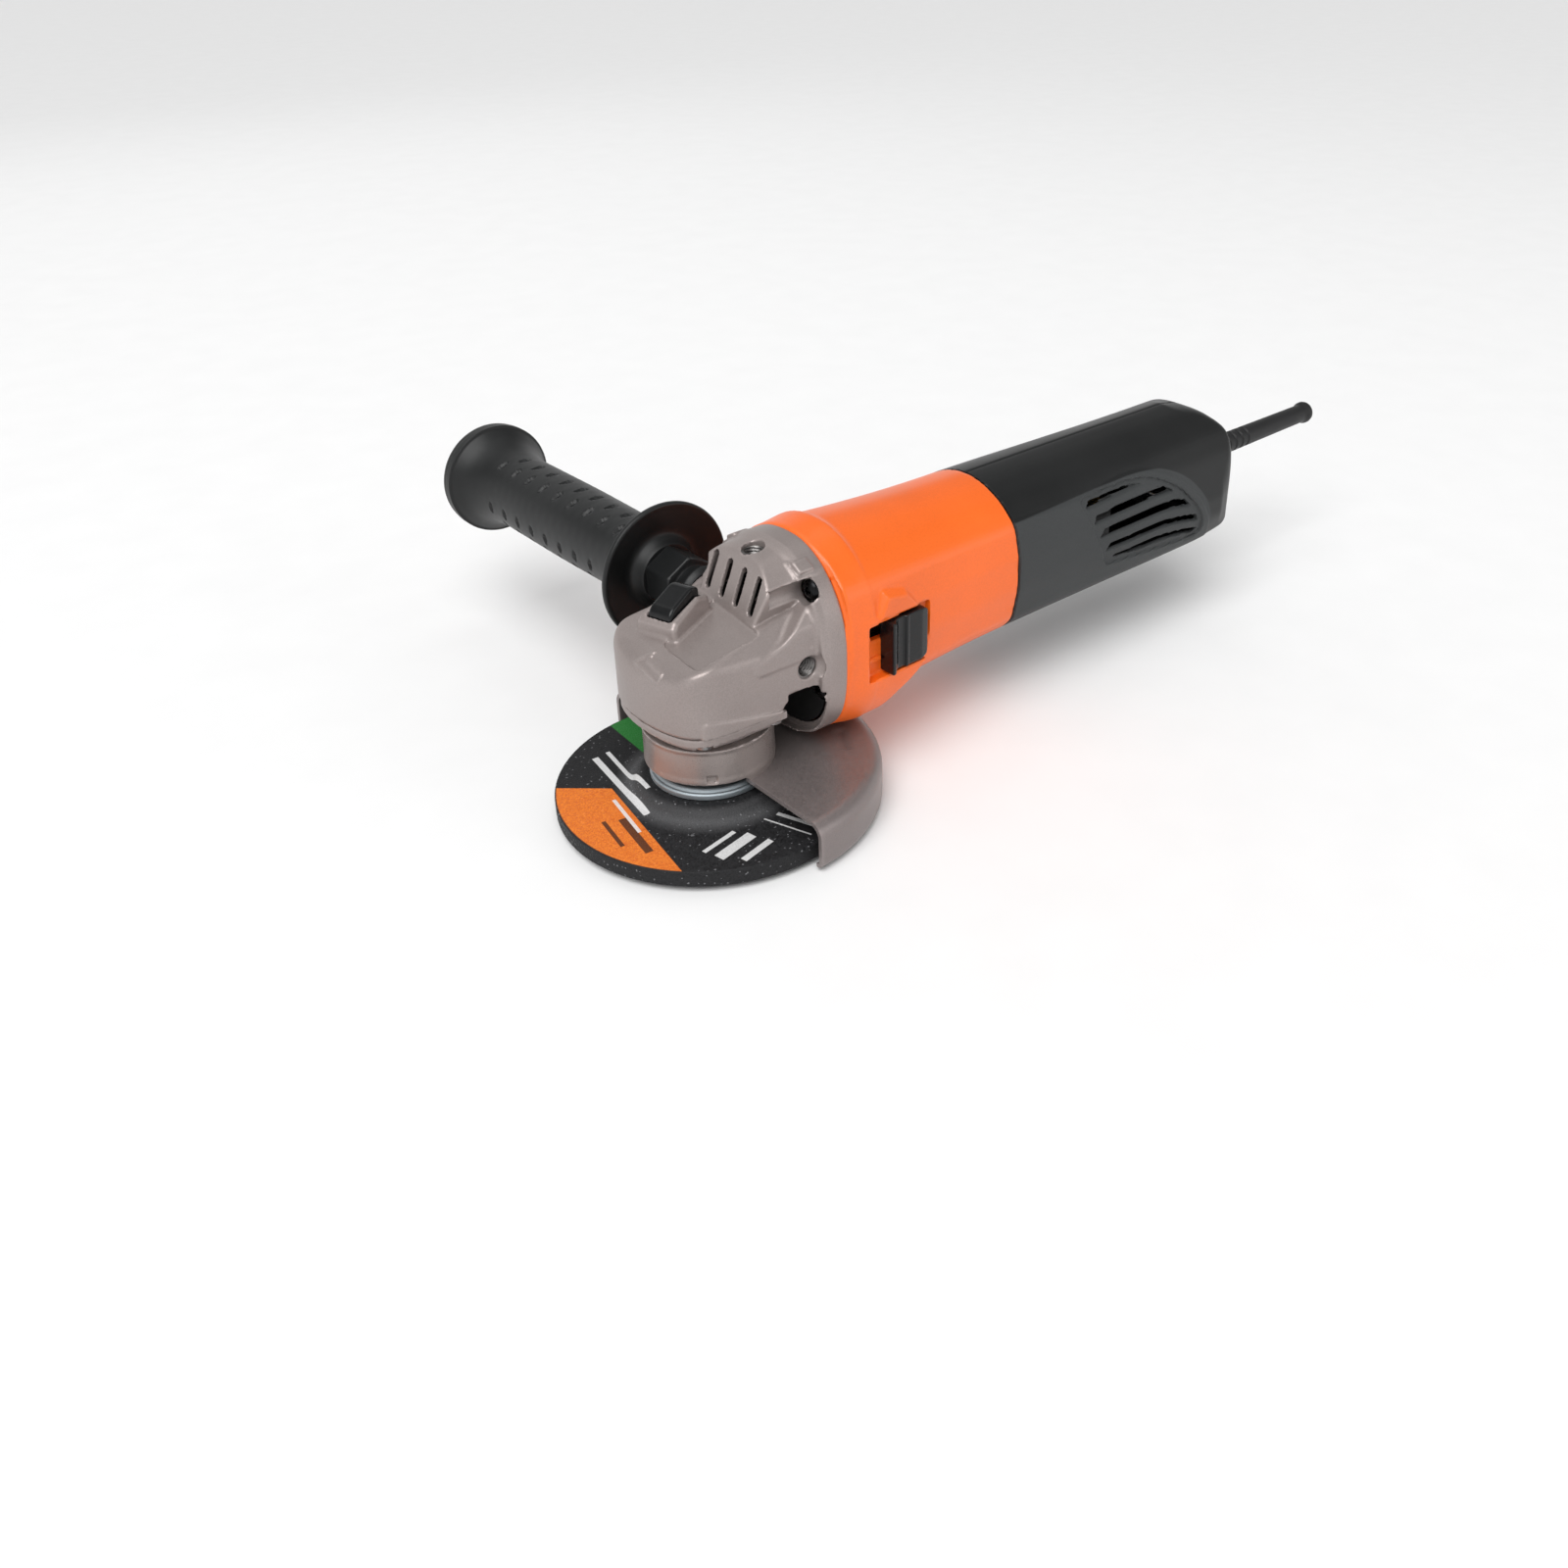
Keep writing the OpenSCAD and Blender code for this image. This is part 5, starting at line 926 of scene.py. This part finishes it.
def gripDents(radius, height, turn):
    # Almond dents: each row's turn and pitch give the nearest dent's middle, and the dent's depth falls off
    # with the distance across its width, stretched towards its ends.
    h = height - grip["start"]
    outer = smooth((radius - 14) * 2) * smooth((h - 12) / 2) * smooth((114 - h) / 2)
    depth = 0.0
    for k, row in enumerate(grip["rows"]):
        shift = 0.5 * grip["pitch"] * (k % 2)
        away = np.mod(turn - math.radians(grip["bandTurn"] + row) + math.pi, 2 * math.pi) - math.pi
        u = away * 16.2
        place = (h - grip["firstDent"] - shift) / grip["pitch"]
        near = np.clip(np.round(place), 0, grip["dents"] - 1 - k % 2)
        v = (place - near) * grip["pitch"] + 0.22 * u
        fill = (u / (grip["dentLength"] / 2)) ** 2
        d = np.abs(v) / (grip["dentWidth"] / 2) + fill
        depth = np.maximum(depth, smooth((1.15 - d) / 0.5))
    ripple = 0.05 * np.sin(height * 1.1) * np.sin(turn * 7)
    return radius - outer * (grip["dentDepth"] * depth + ripple * 0.4), height


def makeGrip():
    profile = softCorners(grip["profile"], grip["soft"], 6) + np.array([0, grip["start"]])
    return lathe("handleGrip", finely(profile, 0.8), "y", (socketX, 0, handleZ), 200, gripDents)


def makeEndCap():  # low dome with a turned-in rim and one sunk ring
    profile = [(0, 191.2), (0, 195.4), (9, 195.6), (9.6, 195.1), (11.4, 195.1), (12, 195.6), (19.5, 195.5),
               (22.8, 194.8),
               (24, 193.2), (24.1, 191.4), (23.6, 191.05), (12.0, 191.05), (12.0, 186), (9.4, 186), (9.4, 191.2)]
    profile = softCorners(profile, [0, 0, 0.3, 0.3, 0.3, 0.3, 1.5, 1.2, 0.8, 0.2, 0.1, 0.1, 0.1, 0.1, 0.1], 4)
    return lathe("handleEndCap", finely(profile, 1.2), "y", (socketX, 0, handleZ), 128)


disc = {"radius": 57.5, "thick": 6.4, "rise": 4.6, "hub": 26.2, "bore": 11.11, "grit": 0.035}


def makeDisc():
    # A depressed-centre disc: flat face, a sloping ring round the sunk hub, ground edges, and a fine random
    # unevenness that stands for its grains.
    edge, bore, hub, thick, rise = disc["radius"], disc["bore"], disc["hub"], disc["thick"], disc["rise"]
    top = thick + rise - 0.02
    profile = [(bore, rise), (hub - 2.7, rise), (hub, 0.02), (edge - 0.4, 0.02), (edge, 0.4), (edge, thick - 0.4),
               (edge - 0.4, thick), (hub + 3.6, thick), (hub + 0.8, top), (bore, top)]
    profile = finely(softCorners(profile, [0.1, 2, 2, 0.2, 0.2, 0.2, 0.2, 2.4, 2.4, 0.1], 5), 0.75)
    grit = np.random.default_rng(7).normal(0, disc["grit"], (len(profile), 420))

    def rough(radius, height, turn):
        on = ((radius > 12) & (radius < edge - 0.3)).astype(float)
        top = (height > 3.2).astype(float)
        return radius - np.abs(grit) * (radius > edge - 0.3), height + on * -np.abs(grit) * (2 * top - 1)

    return lathe("grindingDisc", profile, "z", (0, 0, 0), 420, rough)


def makeFlange():
    profile = [(8.0, 8.42), (11, 8.42), (11, 11.02), (21.9, 11.02), (22.5, 11.5), (22.5, 13.2), (22.0, 13.7),
               (21.2, 13.8),
               (20.9, 14.5), (20.2, 14.98), (8.0, 14.98)]
    profile = softCorners(profile, [0, 0.2, 0.2, 0.3, 0.2, 0.2, 0.2, 0.2, 0.2, 0.2, 0], 4)
    return lathe("innerFlange", finely(profile, 0.8), "z", (0, 0, 0), 180)


def makeSleeve():  # tapered cord sleeve with shallow rings near the housing and a rolled bead at its end
    rings = [p for k in range(9) for p in ((5.16 - 0.04 * k, 280.2 + 5 * k), (4.7 - 0.04 * k, 280.8 + 5 * k),
                                           (4.7 - 0.04 * k, 281.9 + 5 * k), (5.14 - 0.04 * k, 282.5 + 5 * k))]
    profile = [(3.6, 266), (5.2, 266), (5.2, 271.1), (7.7, 271.1), (7.7, 273.4), (5.2, 273.4)] + rings
    profile += [(4.62, 350), (4.5, 371), (4.9, 372.2), (5.35, 373.4), (5.4, 374.8), (5.1, 375.8), (4.4, 376),
                (3.6, 375.6)]
    return lathe("cordSleeve", finely(np.array(profile), 1.5), "x", (0, 0, motorZ), 96)


def makeThread(name, axis, centre, low, high):  # ring whose bore follows a 1.25 mm thread's triangle wave
    rows = np.arange(low, high, 0.16)
    profile = [(3.72, h) for h in rows] + [(4.36, h) for h in rows[::-8]] + [(4.36, rows[0])]

    def cutThread(radius, height, turn):
        wave = np.abs(np.mod(height / 1.25 - turn / (2 * math.pi), 1) - 0.5) * 2
        return radius + (radius < 4) * (0.34 - 0.62 * wave), height

    return lathe(name, profile, axis, centre, 64, cutThread)


guard = {"radius": 63.5, "sheet": 1.6, "top": 17, "edge": 5, "from": -90, "to": 90}


def makeGuard():
    # The sheet's middle line runs out flat, round the edge's curve, down the skirt and round a small rolled rim;
    # it is carried about the spindle, thickened both ways, and its two ends are closed.
    t = guard["sheet"] / 2
    r, top = guard["radius"] - t, guard["top"] - t
    flat = [(a, top) for a in np.linspace(21.6, r - guard["edge"], 26)]
    bend = [(r - guard["edge"] + guard["edge"] * math.sin(a), top - guard["edge"] + guard["edge"] * math.cos(a))
            for a in np.radians(np.arange(9, 91, 9))]
    skirt = [(r, a) for a in np.linspace(top - guard["edge"] - 1, 1.6, 10)]
    roll = [(r - 0.35, 0.6), (r - 1.1, 0.1), (r - 2.2, -0.1)]
    line = np.array(flat + bend + skirt + roll)
    step = np.gradient(line, axis=0)
    normal = np.stack([-step[:, 1], step[:, 0]], 1) / np.linalg.norm(step, axis=1, keepdims=True)
    shell = np.concatenate([line + normal * t, (line - normal * t)[::-1]])
    turn = np.radians(np.linspace(guard["from"], guard["to"], 181))
    radius, height = shell[:, :1] + 0 * turn, shell[:, 1:] + 0 * turn
    x, y = radius * np.cos(turn), radius * np.sin(turn)
    ribX, ribY = 42.5, -25.5  # a short rib pressed up out of the flat sheet, and one like it on the other side
    along, across = np.array([-0.49, -0.87]), np.array([0.87, -0.49])
    for flip in (1, -1):
        u = (x - ribX) * along[0] + (y * flip - ribY) * along[1]
        v = (x - ribX) * across[0] + (y * flip - ribY) * across[1]
        lift = smooth(1.6 - np.hypot(np.maximum(np.abs(u) - 5, 0), v) / 1.6)
        height = height - 0.9 * lift * (shell[:, 1:] > top - 1.2) * (radius < r - guard["edge"])
    points = np.stack([x, y, height], -1)
    rows, columns = points.shape[:2]
    quads = gridQuads(rows, columns, True)
    half = rows // 2
    index = np.arange(half - 1)
    strip = np.stack([index, index + 1, rows - 2 - index, rows - 1 - index], 1) * columns
    quads = np.concatenate([quads, strip, (strip + columns - 1)[:, ::-1]])
    mesh = putMesh("guardSheet", points.reshape(-1, 3), quads)
    weld(mesh, outward=True)
    return mesh


screw = {"radius": 3.8, "shank": 1.9, "spots": [(22.5, 82), (-22.5, 82), (26.5, 44), (-26.5, 44)]}


def screwField(x, y, z):  # domed head with a cross recess, facing -X, seated at x = 0, and its shank
    r = np.hypot(y, z)
    head = meet(np.sqrt((x - 2.1) ** 2 + r**2) - 4.7, np.maximum(r - screw["radius"], x), 0.4)
    reach = 1.9 + 0.45 * (-x - 2.6)
    cross = np.minimum(meet(np.abs(y) - 0.5, np.abs(z) - reach), meet(np.abs(z) - 0.5, np.abs(y) - reach))
    head = cut(head, np.maximum(cross, x + 1.1), 0.15)
    return np.minimum(head, np.maximum(r - screw["shank"], np.maximum(-0.5 - x, x - 17.6)))


def makeScrews():
    points, quads = levelSurface(screwField, (-2.8, -4, -4), (17.6, 4, 4), 0.28)
    places = [points + np.array([32, a, b]) for a, b in screw["spots"]]
    faces = [quads + k * len(points) for k in range(len(places))]
    return putMesh("caseScrews", np.concatenate(places), np.concatenate(faces))


springs = {
    "lock_spring": {"joint": "lock_press", "travel": 4.5, "end": 0, "wire": 0.3, "turns": 5},
    "upper_brush_spring": {"joint": "upper_brush_lift", "travel": 3, "end": 1, "wire": 0.35, "turns": 6},
    "lower_brush_spring": {"joint": "lower_brush_lift", "travel": 3, "end": 0, "wire": 0.35, "turns": 6},
}


def makeSpring(name, low, high, wire, turns):
    # A round wire carried along a helix about Z: its height eases in and out, so that both ends lie flat, and the
    # wire draws to a point at each end.
    t = np.linspace(0, 1, turns * 30 + 1)[:, None]
    a = np.linspace(0, 2 * math.pi, 12, endpoint=False)[None, :]
    middle, turn = (low + high) / 2, 2 * math.pi * turns * t
    thick = wire * np.clip(np.minimum(t, 1 - t) * 200, 0, 1)
    radius = (high[0] - low[0]) / 2 - wire + thick * np.cos(a)
    rise = (0.5 * t + 0.5 * smooth(t)) * (high[2] - low[2] - 2 * wire)
    height = low[2] + wire + rise + thick * np.sin(a)
    points = np.stack([middle[0] + radius * np.cos(turn), middle[1] + radius * np.sin(turn), height], -1)
    rows, columns = height.shape
    mesh = putMesh(name, points.reshape(-1, 3), gridQuads(rows, columns, False, True))
    weld(mesh, outward=True)
    return mesh


print("cast and moulded pieces")
for name, field, low, high, step, body, slot, key, node in (
    ("gearCase", gearCaseField, (-29, -34, 19), (39.2, 34, 97.6), case["step"], "tool", "cast_grey", "cast",
     "gear_case"),
    ("bearingPlate", bearingPlateField, (-28.6, -29, 16.8), (24, 29, 44.2), plateSize["step"], "tool",
     "cast_grey", "cast",
     "bearing_plate"),
    ("guardCollar", guardCollarField, (-25, -25, 15.2), (25, 34, 33.2), collarSize["step"], "guard", "collar_metal",
     "collar", "guard_collar"),
    ("motorHousing", motorHousingField, (38.8, -36, 17), (161.2, 36, 97.8), housing["step"], "tool", "orange_plastic",
     "orange", "motor_housing"),
    ("rearHousingRight", rearField(-1), (130, -34, 28), (277.2, 0.2, 94), rear["step"], "tool", "black_plastic",
     "rear",
     "rear_housing_right"),
    ("rearHousingLeft", rearField(1), (130, -0.2, 28), (277.2, 34, 94), rear["step"], "tool", "black_plastic", "rear",
     "rear_housing_left"),
    ("switchThumb", sliderField, (56.8, -38, 43), (79.4, -28.2, 65), slider["step"], "switch", "black_gloss", "gloss",
     "switch_slider"),
    ("lockThumb", buttonField, (-15, 1.5, 73), (5.4, 17.2, 83), button["step"], "spindle_lock", "black_gloss",
     "gloss",
     "lock_button"),
):
    mesh = putMesh(name, *levelSurface(field, low, high, step))
    addPiece(name, mesh, body, finish[key], [node], 40)

print("turned and swept pieces")
for name, mesh, body, slot, key, nodes in (
    ("handleGrip", makeGrip(), "side_handle", "black_plastic", "grip", ["handle_grip"]),
    ("handleEndCap", makeEndCap(), "side_handle", "black_plastic", "grip", ["handle_end_cap"]),
    ("handleCollar", makeHandleCollar(), "side_handle", "black_plastic", "grip", ["handle_collar"]),
    ("grindingDisc", makeDisc(), "spindle", "abrasive", "disc", ["grinding_disc"]),
    ("innerFlange", makeFlange(), "spindle", "steel", "flange", ["inner_flange"]),
    ("guardSheet", makeGuard(), "guard", "guard_grey", "guard", ["guard"]),
    ("cordSleeve", makeSleeve(), "tool", "black_rubber", "rubber", ["cord_sleeve"]),
    ("caseScrews", makeScrews(), "tool", "dark_steel", "blackScrew", ["gear_case_screws"]),
    ("rightThread", makeThread("rightThread", "y", (socketX, 0, 56), -28.1, -17.2), "tool", "steel", "thread", []),
    ("topThread", makeThread("topThread", "z", (socketX, 0, 0), 80.8, 91.9), "tool", "steel", "thread", []),
):
    addPiece(name, mesh, body, finish[key], nodes, 35)

for node, spec in springs.items():  # each spring becomes a coiled wire filling its node's box
    low, high = span(node)
    words = node.split("_")
    name = words[0] + "".join(word.capitalize() for word in words[1:])
    mesh = makeSpring(name, low, high, spec["wire"], spec["turns"])
    piece = addPiece(name, mesh, "tool", finish["spring"], [node], 40)
    middle, length = (low + high) / 2 * mm, high[2] - low[2]
    anchor = (middle[0], middle[1], (high if spec["end"] else low)[2] * mm)
    float(1 - spec["travel"] / length)
    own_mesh(piece)

print("finishes on the frame's own nodes")
frameFinish = {
    "spindle": "spindle", "spindle_seal": "rubber", "spindle_bearing": "spindle", "spindle_bearing_circlip": "dark",
    "spindle_bush": "bronze", "bevel_gear": "gear", "gear_circlip": "dark", "gear_key": "dark", "lock_nut": "dark",
    "guard_clamp_screw": "screw", "guard_clamp_nut": "screw", "bearing_plate_screws": "screw", "lock_pin": "screw",
    "air_deflector": "black", "armature_shaft": "shaft", "pinion": "gear", "fan": "white",
    "armature_core": "stack", "armature_windings": "winding", "commutator": "bars", "front_bearing": "shaft",
    "rear_bearing": "shaft", "bearing_sleeve": "rubber", "stator_core": "stack", "stator_coils": "coil",
    "stator_screws": "screw", "fan_baffle": "black", "brush_holders": "brass", "brush_caps": "black",
    "upper_brush": "carbon", "lower_brush": "carbon", 
    "switch_rod": "black", "switch_block": "black", "capacitor": "amber", "rear_housing_screws": "screw",
    "cord_clamp": "black", "cord_clamp_screws": "screw", "handle_stud": "stud",
}
for node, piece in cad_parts.items():
    material = finish[frameFinish.get(node, "screw")]
    if not piece.hide_render:
        if node not in frameFinish:
            print("  no finish named for", node)
        piece.data.materials.clear()
        piece.data.materials.append(material)

print("stage")
stage = {"floor": 0.0013, "horizon": 0.95, "sky": 0.3, "sun": 2.0, "key": 6, "top": 2, "fill": 3, "back": 1.5}
bpy.ops.mesh.primitive_plane_add(size=14, location=(0.1, 0.05, cadBox[0][2] - stage["floor"]))
floor = bpy.context.object
floor.name = "floor"
paper = Finish("floor_paper", Roughness=0.75, Specular_IOR_Level=0.2)
paper.feed("Base Color", paper.tint(paper.noise(30, 3), (0.83, 0.83, 0.83), (0.87, 0.87, 0.87)))
paper.feed("Normal", paper.bump(paper.noise(2, 3), 0.05, 0.2))
floor.data.materials.append(paper.material)

world = bpy.data.worlds.new("tent")
world.use_nodes = True
tent = Nodes(world.node_tree)  # pale all round, brightest at the horizon
height = tent.node("SeparateXYZ", {}, {0: tent.node("TexCoord", {}, {}, "Generated")}, "Z")
glow = tent.node("MapRange", {}, {0: height, 1: 0.12, 2: 0.45, 3: stage["horizon"], 4: stage["sky"]})
background = world.node_tree.nodes["Background"]
background.inputs[0].default_value = (1, 1, 1, 1)
world.node_tree.links.new(glow.socket, background.inputs[1])
bpy.context.scene.world = world


def addLamp(light, place, direction):
    lamp = bpy.data.objects.new(light.name, light)
    lamp.location = place
    lamp.rotation_euler = Vector(direction).to_track_quat("-Z", "Y").to_euler()
    bpy.context.scene.collection.objects.link(lamp)


def softbox(name, power, place, target, wide, tall):
    light = bpy.data.lights.new(name, "AREA")
    light.shape, light.size, light.size_y, light.energy = "RECTANGLE", wide, tall, power
    addLamp(light, place, Vector(target) - Vector(place))


sun = bpy.data.lights.new("sun", "SUN")  # wide and soft, so that the floor stays even to its far edge
sun.energy, sun.angle = stage["sun"], math.radians(50)
addLamp(sun, (0, 0, 0), (0.45, 0.35, -1))
softbox("keyLight", stage["key"], (-0.9, -0.3, 1.2), (0.05, 0, 0.05), 1.0, 1.0)
softbox("topLight", stage["top"], (0.35, 0.55, 1.5), (0.12, 0, 0.05), 1.6, 0.5)
softbox("fillLight", stage["fill"], (0.9, -1.3, 0.7), (0.1, 0, 0.05), 0.9, 0.9)
softbox("backLight", stage["back"], (0.2, 1.5, 0.9), (0.1, 0, 0.05), 1.4, 0.7)

camera = bpy.data.objects.new("camera", bpy.data.cameras.new("camera"))
bpy.context.scene.collection.objects.link(camera)
camera.location = (-0.2533, -0.3732, 0.306)
camera.rotation_euler = Vector((0.592, 0.652, -0.474)).to_track_quat("-Z", "Y").to_euler()
camera.data.lens, camera.data.sensor_width = 33.0, 36.0
camera.data.shift_x, camera.data.shift_y = -0.0625, -0.09375
camera.data.clip_start, camera.data.clip_end = 0.01, 50
bpy.context.scene.camera = camera
bpy.context.scene.view_settings.view_transform = "Standard"
